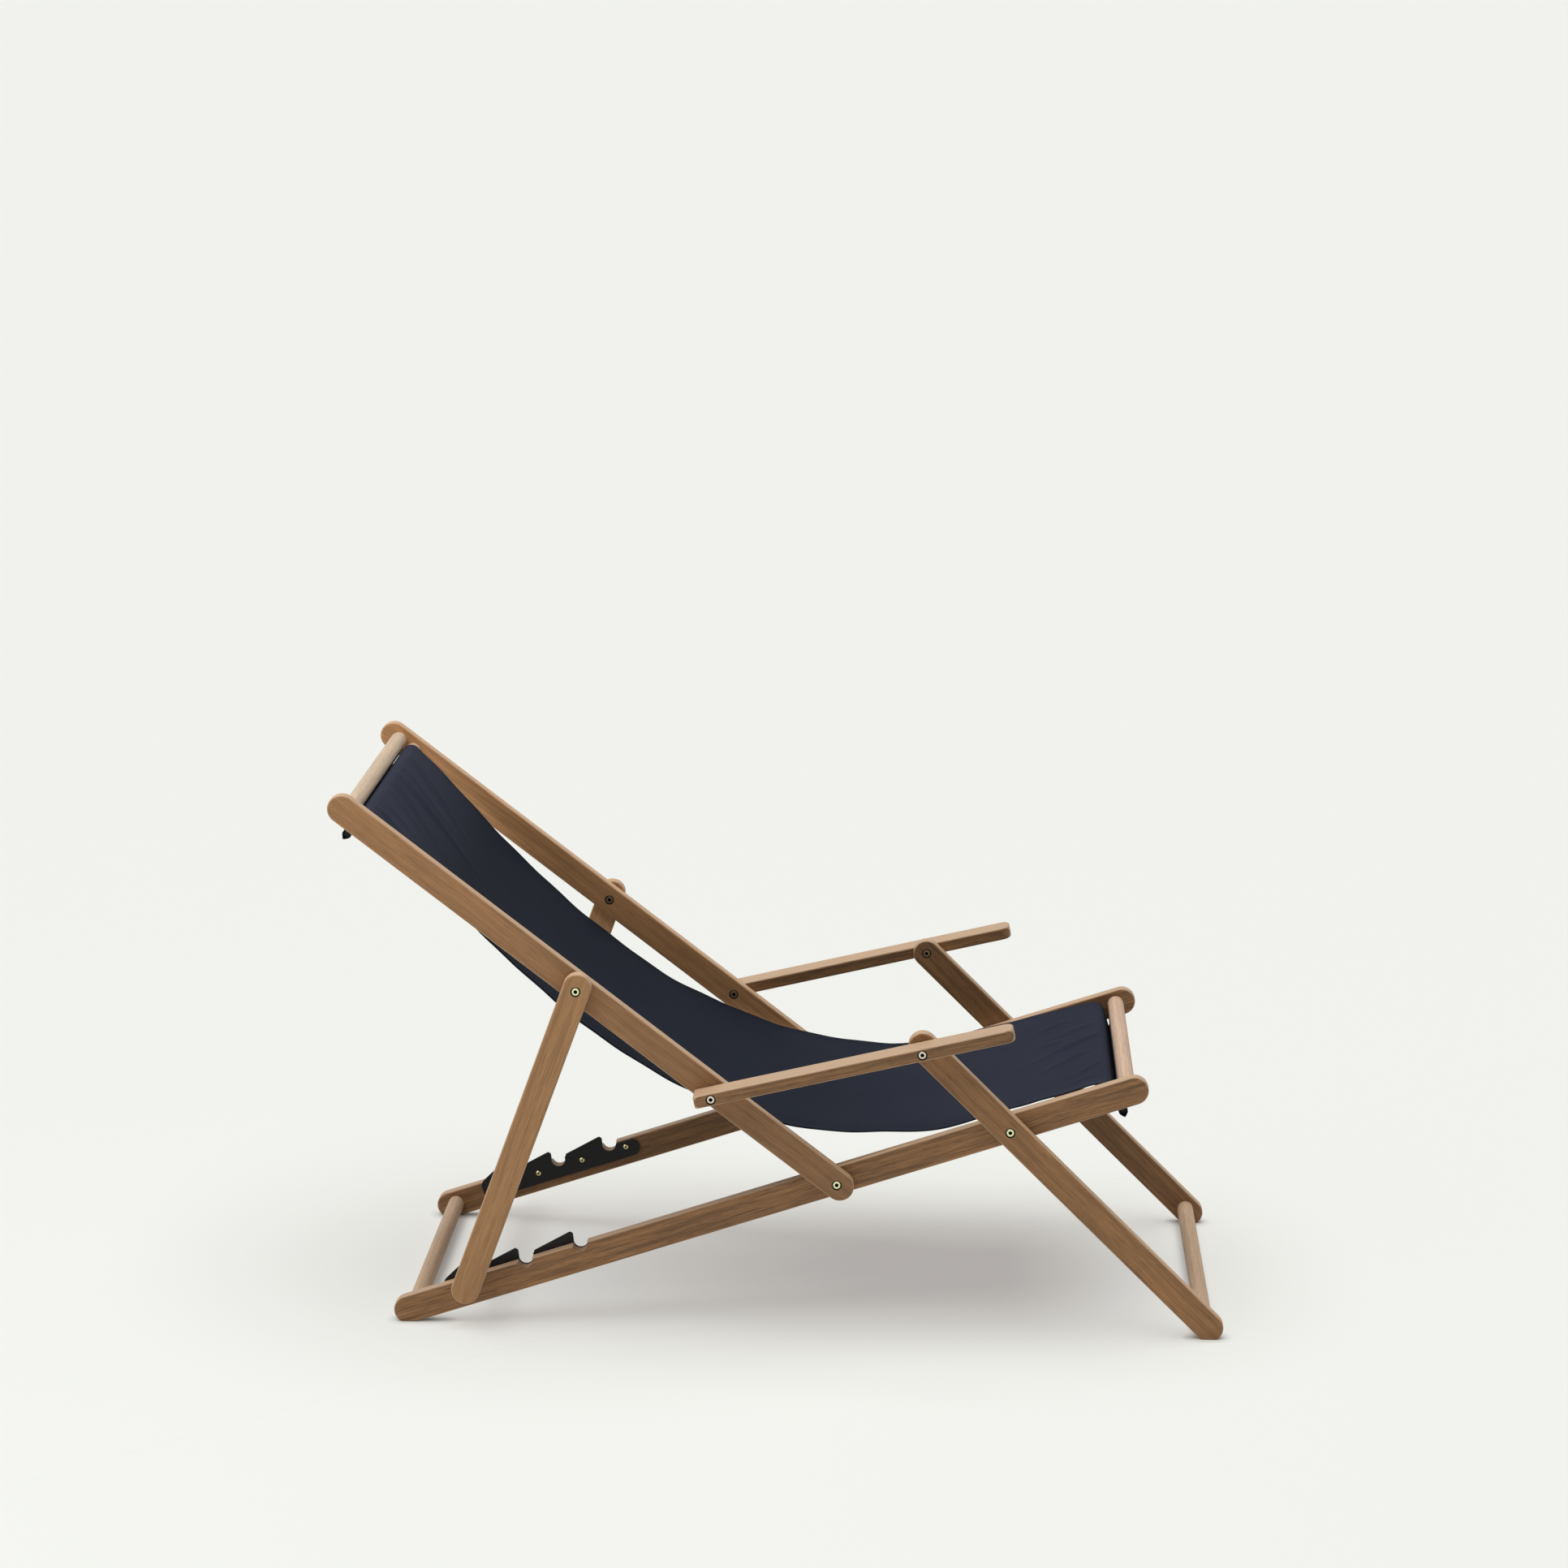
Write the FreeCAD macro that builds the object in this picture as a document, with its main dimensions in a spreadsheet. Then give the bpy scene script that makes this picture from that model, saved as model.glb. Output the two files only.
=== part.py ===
import FreeCAD, Part
import math
import os
import Sketcher
from FreeCAD import Placement, Rotation, Vector

# Folding deck chair with arms, in millimetres. +X is the way the sitter faces,
# +Y is the sitter's left and +Z is up. The floor is z = 0.
os.makedirs("parts", exist_ok=True)
doc = FreeCAD.newDocument("deck_chair")


class Dim:
    """A length or angle: its number, and the expression that gives it in the sheet."""

    def __init__(self, value, text):
        self.value = float(value)
        self.text = text

    def __add__(self, other):
        other = as_dim(other)
        return Dim(self.value + other.value, "(%s + %s)" % (self.text, other.text))

    def __sub__(self, other):
        other = as_dim(other)
        return Dim(self.value - other.value, "(%s - %s)" % (self.text, other.text))

    def __mul__(self, other):
        other = as_dim(other)
        return Dim(self.value * other.value, "(%s * %s)" % (self.text, other.text))

    def __truediv__(self, other):
        other = as_dim(other)
        return Dim(self.value / other.value, "(%s / %s)" % (self.text, other.text))

    def __neg__(self):
        return Dim(-self.value, "(0 - %s)" % self.text)

    def __radd__(self, other):
        return as_dim(other) + self

    def __rsub__(self, other):
        return as_dim(other) - self

    __rmul__ = __mul__


def as_dim(number):
    if isinstance(number, Dim):
        return number
    return Dim(number, "%.6g" % number)


def dcos(angle):
    return Dim(math.cos(math.radians(angle.value)), "cos(%s)" % angle.text)


def dsin(angle):
    return Dim(math.sin(math.radians(angle.value)), "sin(%s)" % angle.text)


DRIVING = {
    # Slats: every rail, leg and prop is cut from the same strip.
    "slat_depth": 40.0,
    "slat_thick": 20.0,
    "edge_round": 3.0,
    # Side view. Angles are in degrees from +X, lengths run between centres.
    "pivot_height": 217.0,
    "seat_tilt": 18.2,
    "back_rake": 142.5,
    "seat_rear": 642.0,
    "seat_front": 437.0,
    "back_length": 870.0,
    "leg_pivot": 255.0,
    "arm_pivot": 220.0,
    "prop_pivot": 459.0,
    "prop_length": 457.0,
    "arm_link": 301.0,
    "leg_link": 174.0,
    "leg_length": 399.0,
    # How far the end roundings are centred beyond the outermost hole of a strip.
    "back_low_end": 5.0,
    "prop_top_end": 5.5,
    "prop_low_end": 6.5,
    # Layers from the middle of the chair outwards.
    "inner_half": 246.0,
    "layer_gap": 2.0,
    # Armrest board.
    "arm_rear": 24.5,
    "arm_front": 431.0,
    "arm_thick": 18.0,
    "arm_width": 44.0,
    "arm_front_round": 13.0,
    "arm_rear_round": 5.0,
    # Round crosspieces.
    "dowel_dia": 24.0,
    "crossbar_dia": 20.0,
    "socket_depth": 12.0,
    "dowel_inset": 10.0,
    "head_bar_inset": 37.3,
    "seat_bar_inset": 43.0,
    # Pivot hardware.
    "sleeve_dia": 8.0,
    "slim_sleeve_dia": 6.0,
    "run_clear": 0.1,
    "open_clear": 3.6,
    "head_dia": 11.0,
    "head_thick": 2.6,
    "head_chamfer": 0.6,
    "recess_dia": 13.6,
    "recess_depth": 3.0,
    "nut_recess_depth": 3.2,
    "nut_inset": 0.5,
    "shaft_dia": 4.0,
    "shaft_length": 15.0,
    "well_gap": 0.5,
    "hex_flats": 4.0,
    "hex_depth": 1.8,
    "washer_dia": 18.0,
    "face_clear": 0.05,
    # Notched plates: notches, teeth and outline, measured from the rail's own axis.
    "notch_pitch": 82.2,
    "notch_round": 10.3,
    "wood_notch_round": 11.0,
    "plate_thick": 3.0,
    "plate_low": 7.6,
    "plate_lip": 25.0,
    "lip_lean": 3.5,
    "plate_peak": 36.0,
    "peak_back": 11.5,
    "tip_back": 8.0,
    "tip_drop": 3.5,
    "plate_step": 2.5,
    "plate_rear_end": 44.0,
    "plate_front_end": 44.0,
    "plate_rear_round": 12.0,
    "plate_low_round": 8.0,
    "plate_front_round": 12.0,
    "peak_round": 2.5,
    "tip_round": 1.8,
    "lip_round": 2.0,
    # Screws of the plates.
    "screw_dia": 3.6,
    "screw_length": 14.0,
    "screw_point": 4.0,
    "screw_head_dia": 7.6,
    "screw_head_rise": 2.2,
    "screw_head_ease": 1.2,
    "screw_rise": 9.0,
    "screw_lead": 35.9,
    "screw_pitch": 70.8,
    "cross_arm": 2.1,
    "cross_web": 0.45,
    "cross_depth": 1.3,
    # Sling: cloth, trimmed sides, hems, and the slopes and roundings of its hanging line.
    "sling_width": 524.0,
    "head_half": 247.0,
    "gather_from": 578.0,
    "gather_to": 372.0,
    "seat_half": 243.0,
    "squeeze_from": 188.0,
    "squeeze_to": 114.0,
    "trim_half": 272.0,
    "trim_reach": 800.0,
    "sling_thick": 1.2,
    "sling_clear": 0.3,
    "hem_rod_dia": 10.0,
    "head_hem_drop": 33.5,
    "seat_hem_drop": 28.5,
    "head_rod_lean": -3.1,
    "seat_rod_lean": 5.6,
    "head_flap_gap": 0.4,
    "seat_flap_gap": 5.5,
    "flap_top": 3.0,
    "fold_round": 1.2,
    "fold_angle": 42.0,
    "head_slope": -46.7,
    "upper_round": 960.0,
    "upper_turn": 12.4,
    "middle_round": 840.0,
    "middle_turn": 15.7,
    "lower_round": 460.0,
    "lower_turn": 33.4,
    "head_rod_half": 243.0,
    "seat_rod_half": 238.0,
}


def along(length, degrees):
    return Vector(length * math.cos(math.radians(degrees)), 0, length * math.sin(math.radians(degrees)))


def heading(start, end):
    return math.degrees(math.atan2(end.z - start.z, end.x - start.x))


def link_pin(one, one_length, two, two_length):
    """The upper point at the two given distances from two points in the side view."""
    span = (two - one).Length
    run = (one_length ** 2 - two_length ** 2 + span ** 2) / (2 * span)
    rise = math.sqrt(one_length ** 2 - run ** 2)
    step = (two - one) / span
    return one + step * run + Vector(-step.z, 0, step.x) * rise


def side_view(given):
    """Angles and notch position that close the two linkages, with the main pivot at zero."""
    leg_pin = along(given["leg_pivot"], given["seat_tilt"])
    arm_pin = along(given["arm_pivot"], given["back_rake"])
    prop_pin = along(given["prop_pivot"], given["back_rake"])
    top_pin = link_pin(arm_pin, given["arm_link"], leg_pin, given["leg_link"])
    seat = along(1.0, given["seat_tilt"])
    above = Vector(-seat.z, 0, seat.x) * given["slat_depth"] / 2
    offset = above - prop_pin
    half = seat.dot(offset)
    notch = half + math.sqrt(half ** 2 + given["prop_length"] ** 2 - offset.Length ** 2)
    bar = above - seat * notch
    foot = leg_pin + along(given["leg_length"], heading(top_pin, leg_pin))
    rear = along(given["back_length"], given["back_rake"]).x
    return {
        "leg_slope": heading(top_pin, leg_pin),
        "arm_slope": heading(arm_pin, top_pin),
        "prop_slope": heading(prop_pin, bar),
        "notch_last": notch,
        "pivot_x": -(rear + foot.x) / 2,
    }


DRIVING.update(side_view(DRIVING))

sheet = doc.addObject("Spreadsheet::Sheet", "dims")
for row, (alias, number) in enumerate(DRIVING.items(), start=1):
    sheet.set("A%d" % row, alias)
    sheet.set("B%d" % row, "%.9g" % number)
    sheet.setAlias("B%d" % row, alias)
doc.recompute()

D = {alias: Dim(number, "dims." + alias) for alias, number in DRIVING.items()}
HALF_DEPTH = D["slat_depth"] / 2
HALF_THICK = D["slat_thick"] / 2
MAIN = (D["pivot_x"], D["pivot_height"])


def step_from(point, length, angle):
    return (point[0] + length * dcos(angle), point[1] + length * dsin(angle))


LEG_PIN = step_from(MAIN, D["leg_pivot"], D["seat_tilt"])
ARM_PIN = step_from(MAIN, D["arm_pivot"], D["back_rake"])
PROP_PIN = step_from(MAIN, D["prop_pivot"], D["back_rake"])
TOP_PIN = step_from(ARM_PIN, D["arm_link"], D["arm_slope"])

# Distances of the layers' faces from the middle of the chair.
SEAT_OUT = D["inner_half"] + D["slat_thick"]
BACK_IN = SEAT_OUT + D["layer_gap"]
BACK_OUT = BACK_IN + D["slat_thick"]
SIDE_IN = BACK_OUT + D["layer_gap"]
PROP_OUT = SIDE_IN + D["slat_thick"]
ARM_OUT = SIDE_IN + D["arm_width"]

# Points nearer than this are one point, and a cut smaller than this took nothing away.
SAME_SPOT = 0.01
SLIVER = 1e-6

nodes = {}


def bind(item, prop, dim):
    dim = as_dim(dim)
    item.setExpression(prop, dim.text)


def new_body(name):
    body = doc.addObject("PartDesign::Body", name)
    body.Label = name
    return body


def origin_plane(body, role):
    return [item for item in body.Origin.OriginFeatures if item.Role == role][0]


def new_sketch(body, name, role="XZ_Plane", lift=None, turn=None):
    """A sketch on one of the body's planes, lifted along its normal or turned in itself."""
    sketch = body.newObject("Sketcher::SketchObject", name)
    sketch.AttachmentSupport = (origin_plane(body, role), [""])
    sketch.MapMode = "FlatFace"
    if turn is not None:
        sketch.AttachmentOffset = Placement(Vector(0, 0, 0), Rotation(Vector(0, 0, 1), turn.value))
        bind(sketch, "AttachmentOffset.Rotation.Angle", turn)
    if lift is not None:
        sketch.AttachmentOffset = Placement(Vector(0, 0, lift.value), Rotation())
        bind(sketch, "AttachmentOffset.Base.z", lift)
    return sketch


def pin_point(sketch, geo, spot, across, up):
    """Hold one point of a sketch at its two distances from the sketch's origin."""
    for kind, axis, dim in (("DistanceX", -2, as_dim(across)), ("DistanceY", -1, as_dim(up))):
        if dim.text == "0":
            sketch.addConstraint(Sketcher.Constraint("PointOnObject", geo, spot, axis))
        else:
            held = sketch.addConstraint(Sketcher.Constraint(kind, -1, 1, geo, spot, dim.value))
            bind(sketch, "Constraints[%d]" % held, dim)


def draw_polygon(sketch, points):
    spots = [Vector(as_dim(x).value, as_dim(y).value, 0) for x, y in points]
    count = len(spots)
    first = sketch.GeometryCount
    for index in range(count):
        sketch.addGeometry(Part.LineSegment(spots[index], spots[(index + 1) % count]), False)
    for index in range(count):
        following = first + (index + 1) % count
        sketch.addConstraint(Sketcher.Constraint("Coincident", first + index, 2, following, 1))
    for index, (x, y) in enumerate(points):
        pin_point(sketch, first + index, 1, x, y)


def draw_circle(sketch, centre, dia):
    middle = Vector(as_dim(centre[0]).value, as_dim(centre[1]).value, 0)
    geo = sketch.addGeometry(Part.Circle(middle, Vector(0, 0, 1), dia.value / 2), False)
    pin_point(sketch, geo, 3, centre[0], centre[1])
    held = sketch.addConstraint(Sketcher.Constraint("Diameter", geo, dia.value))
    bind(sketch, "Constraints[%d]" % held, dim=dia)


def draw_slot(sketch, start, end, radius):
    """Round-ended strip between two end centres on the sketch's first axis."""
    left, right, r = as_dim(start).value, as_dim(end).value, radius.value
    up = Vector(0, 0, 1)
    half = math.pi / 2
    sketch.addGeometry(Part.LineSegment(Vector(left, -r, 0), Vector(right, -r, 0)), False)
    ring = Part.Circle(Vector(right, 0, 0), up, r)
    sketch.addGeometry(Part.ArcOfCircle(ring, -half, half), False)
    sketch.addGeometry(Part.LineSegment(Vector(right, r, 0), Vector(left, r, 0)), False)
    ring = Part.Circle(Vector(left, 0, 0), up, r)
    sketch.addGeometry(Part.ArcOfCircle(ring, half, 3 * half), False)
    for one, one_end, two, two_end in ((0, 2, 1, 1), (1, 2, 2, 1), (2, 2, 3, 1), (3, 2, 0, 1)):
        sketch.addConstraint(Sketcher.Constraint("Tangent", one, one_end, two, two_end))
    pin_point(sketch, 1, 3, end, 0)
    pin_point(sketch, 3, 3, start, 0)
    held = sketch.addConstraint(Sketcher.Constraint("Radius", 1, r))
    bind(sketch, "Constraints[%d]" % held, radius)


def pad(body, sketch, name, length, symmetric=True):
    item = body.newObject("PartDesign::Pad", name)
    item.Profile = sketch
    item.SideType = "Symmetric" if symmetric else "One side"
    item.Length = length.value
    bind(item, "Length", length)
    sketch.Visibility = False
    doc.recompute()
    return item


def pocket(body, sketch, name, depth=None, flip=False):
    """Cut a sketch into the body: right through, or to a depth from the sketch's plane."""
    before = body.Shape.Volume
    item = body.newObject("PartDesign::Pocket", name)
    item.Profile = sketch
    if depth is None:
        item.Type = "ThroughAll"
        item.SideType = "Symmetric"
    else:
        item.Length = depth.value
        bind(item, "Length", depth)
        item.Reversed = flip
    sketch.Visibility = False
    doc.recompute()
    if body.Shape.Volume > before - SLIVER:
        raise RuntimeError("pocket %s takes nothing away" % name)
    return item


def fillet(body, base, name, edges, radius):
    item = body.newObject("PartDesign::Fillet", name)
    item.Base = (base, edges)
    item.Radius = radius.value
    bind(item, "Radius", radius)
    doc.recompute()
    return item


def edges_where(shape, test):
    return ["Edge%d" % number for number, edge in enumerate(shape.Edges, start=1) if test(edge)]


def round_over(body, base, axis, half, radius):
    """Round all edges that lie on the two faces at plus and minus half along an axis."""
    def on_face(edge):
        spots = [getattr(vertex.Point, axis) for vertex in edge.Vertexes]
        level = max(spots) - min(spots) < SAME_SPOT
        return level and min(abs(spot) for spot in spots) > half - SAME_SPOT
    return fillet(body, base, "round_over", edges_where(base.Shape, on_face), radius)


def place(item, pivot, lateral, angle=None):
    """Put an item at a pivot of the side view, at a distance to the sitter's right."""
    lateral = as_dim(lateral)
    turn = Rotation(Vector(0, -1, 0), angle.value) if angle is not None else Rotation()
    item.Placement = Placement(Vector(pivot[0].value, -lateral.value, pivot[1].value), turn)
    bind(item, "Placement.Base.x", pivot[0])
    if lateral.text != "0":
        bind(item, "Placement.Base.y", -lateral)
    bind(item, "Placement.Base.z", pivot[1])
    if angle is not None:
        bind(item, "Placement.Rotation.Angle", angle)
    doc.recompute()


def mirrored(name, source):
    item = doc.addObject("Part::Mirroring", name)
    item.Label = name
    item.Source = source
    item.Base = Vector(0, 0, 0)
    item.Normal = Vector(0, 1, 0)
    return item


def both_sides(stem, body):
    nodes[stem + "_right"] = body
    nodes[stem + "_left"] = mirrored(stem + "_left", body)


def slat(name, start, end):
    """Flat strip with round ends and eased edges, its long axis on the body's X axis."""
    body = new_body(name)
    sketch = new_sketch(body, "outline")
    draw_slot(sketch, start, end, HALF_DEPTH)
    solid = pad(body, sketch, "strip", D["slat_thick"])
    round_over(body, solid, "y", HALF_THICK.value, D["edge_round"])
    return body


def through_holes(body, name, spots, dia):
    sketch = new_sketch(body, name + "_sketch")
    for spot in spots:
        draw_circle(sketch, (spot, 0), dia)
    pocket(body, sketch, name)


def inner_recess(body, name, spots, dia, depth):
    sketch = new_sketch(body, name + "_sketch", lift=-HALF_THICK)
    for spot in spots:
        draw_circle(sketch, spot if isinstance(spot, tuple) else (spot, 0), dia)
    pocket(body, sketch, name, depth, flip=True)


def outer_recess(body, name, spots, dia, depth, face=HALF_THICK):
    sketch = new_sketch(body, name + "_sketch", lift=face)
    for spot in spots:
        draw_circle(sketch, (spot, 0), dia)
    pocket(body, sketch, name, depth)


def floor_cut(body, angle, height, foot_run):
    """Take off what would reach below the floor at the foot of a sloping strip."""
    sketch = new_sketch(body, "floor_sketch", turn=-angle)
    low = -height - D["slat_depth"]
    left = foot_run - 2 * D["slat_depth"]
    right = foot_run + 2 * D["slat_depth"]
    draw_polygon(sketch, [(left, low), (right, low), (right, -height), (left, -height)])
    pocket(body, sketch, "floor_cut")


RUN_BORE = D["sleeve_dia"] + D["run_clear"]
OPEN_BORE = D["slim_sleeve_dia"] + D["open_clear"]
OPEN_RECESS = D["head_dia"] + D["open_clear"]

# Notches along the seat rail, from the rearmost forwards.
NOTCHES = [-D["notch_last"] + step * D["notch_pitch"] for step in range(3)]
SCREW_SPOTS = [NOTCHES[1] - D["screw_lead"] + step * D["screw_pitch"] for step in range(-1, 3)]

# Seat rail: bores for the back and leg pivots, sockets for three crosspieces, three notches.
seat_rail = slat("seat_rail_right", -D["seat_rear"], D["seat_front"])
through_holes(seat_rail, "pivot_bores", [as_dim(0), D["leg_pivot"]], RUN_BORE)
inner_recess(seat_rail, "nut_recesses", [as_dim(0), D["leg_pivot"]], D["recess_dia"], D["nut_recess_depth"])
inner_recess(
    seat_rail,
    "dowel_sockets",
    [
        D["dowel_inset"] - D["seat_rear"],
        D["seat_front"] - D["seat_bar_inset"],
        D["seat_front"] - D["dowel_inset"],
    ],
    D["dowel_dia"],
    D["socket_depth"],
)
inner_recess(
    seat_rail,
    "screw_holes",
    [(spot, D["screw_rise"]) for spot in SCREW_SPOTS],
    D["screw_dia"],
    D["screw_length"],
)
notch_sketch = new_sketch(seat_rail, "notch_sketch")
for notch in NOTCHES:
    draw_circle(notch_sketch, (notch, HALF_DEPTH), 2 * D["wood_notch_round"])
pocket(seat_rail, notch_sketch, "wood_notches")
floor_cut(seat_rail, D["seat_tilt"], D["pivot_height"], -D["seat_rear"] * dcos(D["seat_tilt"]))
place(seat_rail, MAIN, D["inner_half"] + HALF_THICK, D["seat_tilt"])
both_sides("seat_rail", seat_rail)

# Back rail: tight bore at the main pivot, running bores for the arm and the prop.
back_rail = slat("back_rail_right", -D["back_low_end"], D["back_length"])
through_holes(back_rail, "tight_bore", [as_dim(0)], D["sleeve_dia"])
outer_recess(back_rail, "bolt_recess", [as_dim(0)], D["recess_dia"], D["recess_depth"])
running = [D["arm_pivot"], D["prop_pivot"]]
through_holes(back_rail, "pivot_bores", running, RUN_BORE)
inner_recess(back_rail, "nut_recesses", running, D["recess_dia"], D["nut_recess_depth"])
inner_recess(
    back_rail,
    "dowel_sockets",
    [D["back_length"] - D["head_bar_inset"], D["back_length"] - D["dowel_inset"]],
    D["dowel_dia"],
    D["socket_depth"],
)
place(back_rail, MAIN, BACK_IN + HALF_THICK, D["back_rake"])
both_sides("back_rail", back_rail)

# Front leg: its upper end carries the armrest, its foot is cut level with the floor.
front_leg = slat("front_leg_right", -D["leg_link"], D["leg_length"])
through_holes(front_leg, "tight_bore", [as_dim(0)], D["sleeve_dia"])
outer_recess(front_leg, "bolt_recess", [as_dim(0)], D["recess_dia"], D["recess_depth"])
through_holes(front_leg, "open_bore", [-D["leg_link"]], OPEN_BORE)
inner_recess(front_leg, "nut_recess", [-D["leg_link"]], OPEN_RECESS, D["nut_recess_depth"])
inner_recess(
    front_leg,
    "dowel_socket",
    [D["leg_length"] - D["dowel_inset"]],
    D["dowel_dia"],
    D["socket_depth"],
)
floor_cut(front_leg, D["leg_slope"], LEG_PIN[1], D["leg_length"] * dcos(D["leg_slope"]))
place(front_leg, LEG_PIN, BACK_IN + HALF_THICK, D["leg_slope"])
both_sides("front_leg", front_leg)

# Prop: hangs from the back rail and carries the crossbar that drops into the notches.
prop = slat("prop_right", -D["prop_top_end"], D["prop_length"] + D["prop_low_end"])
through_holes(prop, "tight_bore", [as_dim(0)], D["sleeve_dia"])
outer_recess(prop, "bolt_recess", [as_dim(0)], D["recess_dia"], D["recess_depth"])
inner_recess(prop, "crossbar_socket", [D["prop_length"]], D["crossbar_dia"], D["socket_depth"])
place(prop, PROP_PIN, SIDE_IN + HALF_THICK, D["prop_slope"])
both_sides("prop", prop)

# Armrest: a flat board, bolted through its width at the back rail and at the leg.
armrest = new_body("armrest_right")
arm_plan = new_sketch(armrest, "arm_plan", "XY_Plane")
draw_polygon(
    arm_plan,
    [
        (-D["arm_rear"], -D["arm_width"]),
        (D["arm_front"], -D["arm_width"]),
        (D["arm_front"], 0),
        (-D["arm_rear"], 0),
    ],
)
board = pad(armrest, arm_plan, "board", D["arm_thick"])


def upright_at(end):
    """Test for the upright edges at one end of the board."""
    def test(edge):
        low, high = edge.Vertexes[0].Point, edge.Vertexes[-1].Point
        return abs(low.z - high.z) > SAME_SPOT and abs(low.x - end.value) < SAME_SPOT
    return test


corners = edges_where(board.Shape, upright_at(D["arm_front"]))
board = fillet(armrest, board, "front_corners", corners, D["arm_front_round"])
corners = edges_where(board.Shape, upright_at(-D["arm_rear"]))
board = fillet(armrest, board, "rear_corners", corners, D["arm_rear_round"])
round_over(armrest, board, "z", D["arm_thick"].value / 2, D["edge_round"])
through_holes(armrest, "rear_bore", [as_dim(0)], D["sleeve_dia"])
through_holes(armrest, "front_bore", [D["arm_link"]], D["slim_sleeve_dia"])
outer_recess(
    armrest,
    "bolt_recesses",
    [as_dim(0), D["arm_link"]],
    D["recess_dia"],
    D["recess_depth"],
    D["arm_width"],
)
place(armrest, ARM_PIN, SIDE_IN, D["arm_slope"])
both_sides("armrest", armrest)


def crosspiece(name, spot, dia, half):
    """Round bar across the chair, its axis through a point of the side view."""
    bar = doc.addObject("Part::Cylinder", name)
    bar.Label = name
    bar.Radius = dia.value / 2
    bind(bar, "Radius", dia / 2)
    bar.Height = half.value * 2
    bind(bar, "Height", half * 2)
    bar.Placement = Placement(
        Vector(spot[0].value, -half.value, spot[1].value), Rotation(Vector(1, 0, 0), -90)
    )
    bind(bar, "Placement.Base.x", spot[0])
    bind(bar, "Placement.Base.y", -half)
    bind(bar, "Placement.Base.z", spot[1])
    nodes[name] = bar


SEAT_HALF = D["inner_half"] + D["socket_depth"]
BACK_HALF = BACK_IN + D["socket_depth"]
PROP_HALF = SIDE_IN + D["socket_depth"]
HEAD_SPOT = step_from(MAIN, D["back_length"] - D["dowel_inset"], D["back_rake"])
HEAD_BAR_SPOT = step_from(MAIN, D["back_length"] - D["head_bar_inset"], D["back_rake"])
FRONT_SPOT = step_from(MAIN, D["seat_front"] - D["dowel_inset"], D["seat_tilt"])
FRONT_BAR_SPOT = step_from(MAIN, D["seat_front"] - D["seat_bar_inset"], D["seat_tilt"])
REAR_SPOT = step_from(MAIN, D["dowel_inset"] - D["seat_rear"], D["seat_tilt"])
FOOT_SPOT = step_from(LEG_PIN, D["leg_length"] - D["dowel_inset"], D["leg_slope"])
CROSSBAR_SPOT = step_from(PROP_PIN, D["prop_length"], D["prop_slope"])
crosspiece("head_dowel", HEAD_SPOT, D["dowel_dia"], BACK_HALF)
crosspiece("head_sling_bar", HEAD_BAR_SPOT, D["dowel_dia"], BACK_HALF)
crosspiece("seat_front_dowel", FRONT_SPOT, D["dowel_dia"], SEAT_HALF)
crosspiece("seat_sling_bar", FRONT_BAR_SPOT, D["dowel_dia"], SEAT_HALF)
crosspiece("rear_foot_dowel", REAR_SPOT, D["dowel_dia"], SEAT_HALF)
crosspiece("front_foot_dowel", FOOT_SPOT, D["dowel_dia"], BACK_HALF)
crosspiece("prop_crossbar", CROSSBAR_SPOT, D["crossbar_dia"], PROP_HALF)

# Notched plate on the inner face of the seat rail: three hooked teeth with ramps between.
plate = new_body("notch_plate_right")
plate_sketch = new_sketch(plate, "plate_outline")
rear_end = NOTCHES[0] - D["plate_rear_end"]
front_end = NOTCHES[2] + D["plate_front_end"]
front_top = HALF_DEPTH - D["plate_step"]
peaks = [(notch - D["peak_back"], D["plate_peak"]) for notch in NOTCHES]
tips = [(notch - D["tip_back"], D["plate_peak"] - D["tip_drop"]) for notch in NOTCHES]
lips = [(notch + D["notch_round"] + D["lip_lean"], D["plate_lip"]) for notch in NOTCHES[:2]]
ridge = [(rear_end, -D["plate_low"]), (rear_end, HALF_DEPTH)]
for number, notch in enumerate(NOTCHES):
    ridge += [peaks[number], tips[number], (notch - D["notch_round"], HALF_DEPTH)]
    if notch is not NOTCHES[2]:
        ridge += [(notch + D["notch_round"], HALF_DEPTH), lips[number]]
ridge += [(NOTCHES[2] - D["notch_round"], front_top), (front_end, front_top), (front_end, -D["plate_low"])]
draw_polygon(plate_sketch, ridge)
sheet_metal = pad(plate, plate_sketch, "sheet", D["plate_thick"])


def corner_at(*spots):
    """Test for the lateral edges at given corners of the plate's outline."""
    def test(edge):
        low, high = edge.Vertexes[0].Point, edge.Vertexes[-1].Point
        if abs(low.y - high.y) < SAME_SPOT:
            return False
        return any(math.hypot(low.x - x.value, low.z - z.value) < SAME_SPOT for x, z in spots)
    return test


for name, spots in (
    ("plate_rear_round", [ridge[1]]),
    ("plate_low_round", [ridge[0]]),
    ("plate_front_round", ridge[-2:]),
    ("peak_round", peaks),
    ("tip_round", tips),
    ("lip_round", lips),
):
    corners = edges_where(sheet_metal.Shape, corner_at(*spots))
    sheet_metal = fillet(plate, sheet_metal, name, corners, D[name])
plate_notch_sketch = new_sketch(plate, "plate_notch_sketch")
for notch in NOTCHES:
    draw_circle(plate_notch_sketch, (notch, HALF_DEPTH), 2 * D["notch_round"])
pocket(plate, plate_notch_sketch, "plate_notches")
plate_hole_sketch = new_sketch(plate, "plate_hole_sketch")
for spot in SCREW_SPOTS:
    draw_circle(plate_hole_sketch, (spot, D["screw_rise"]), D["screw_dia"])
pocket(plate, plate_hole_sketch, "plate_holes")
place(plate, MAIN, D["inner_half"] - D["plate_thick"] / 2, D["seat_tilt"])
both_sides("notch_plate", plate)


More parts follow.
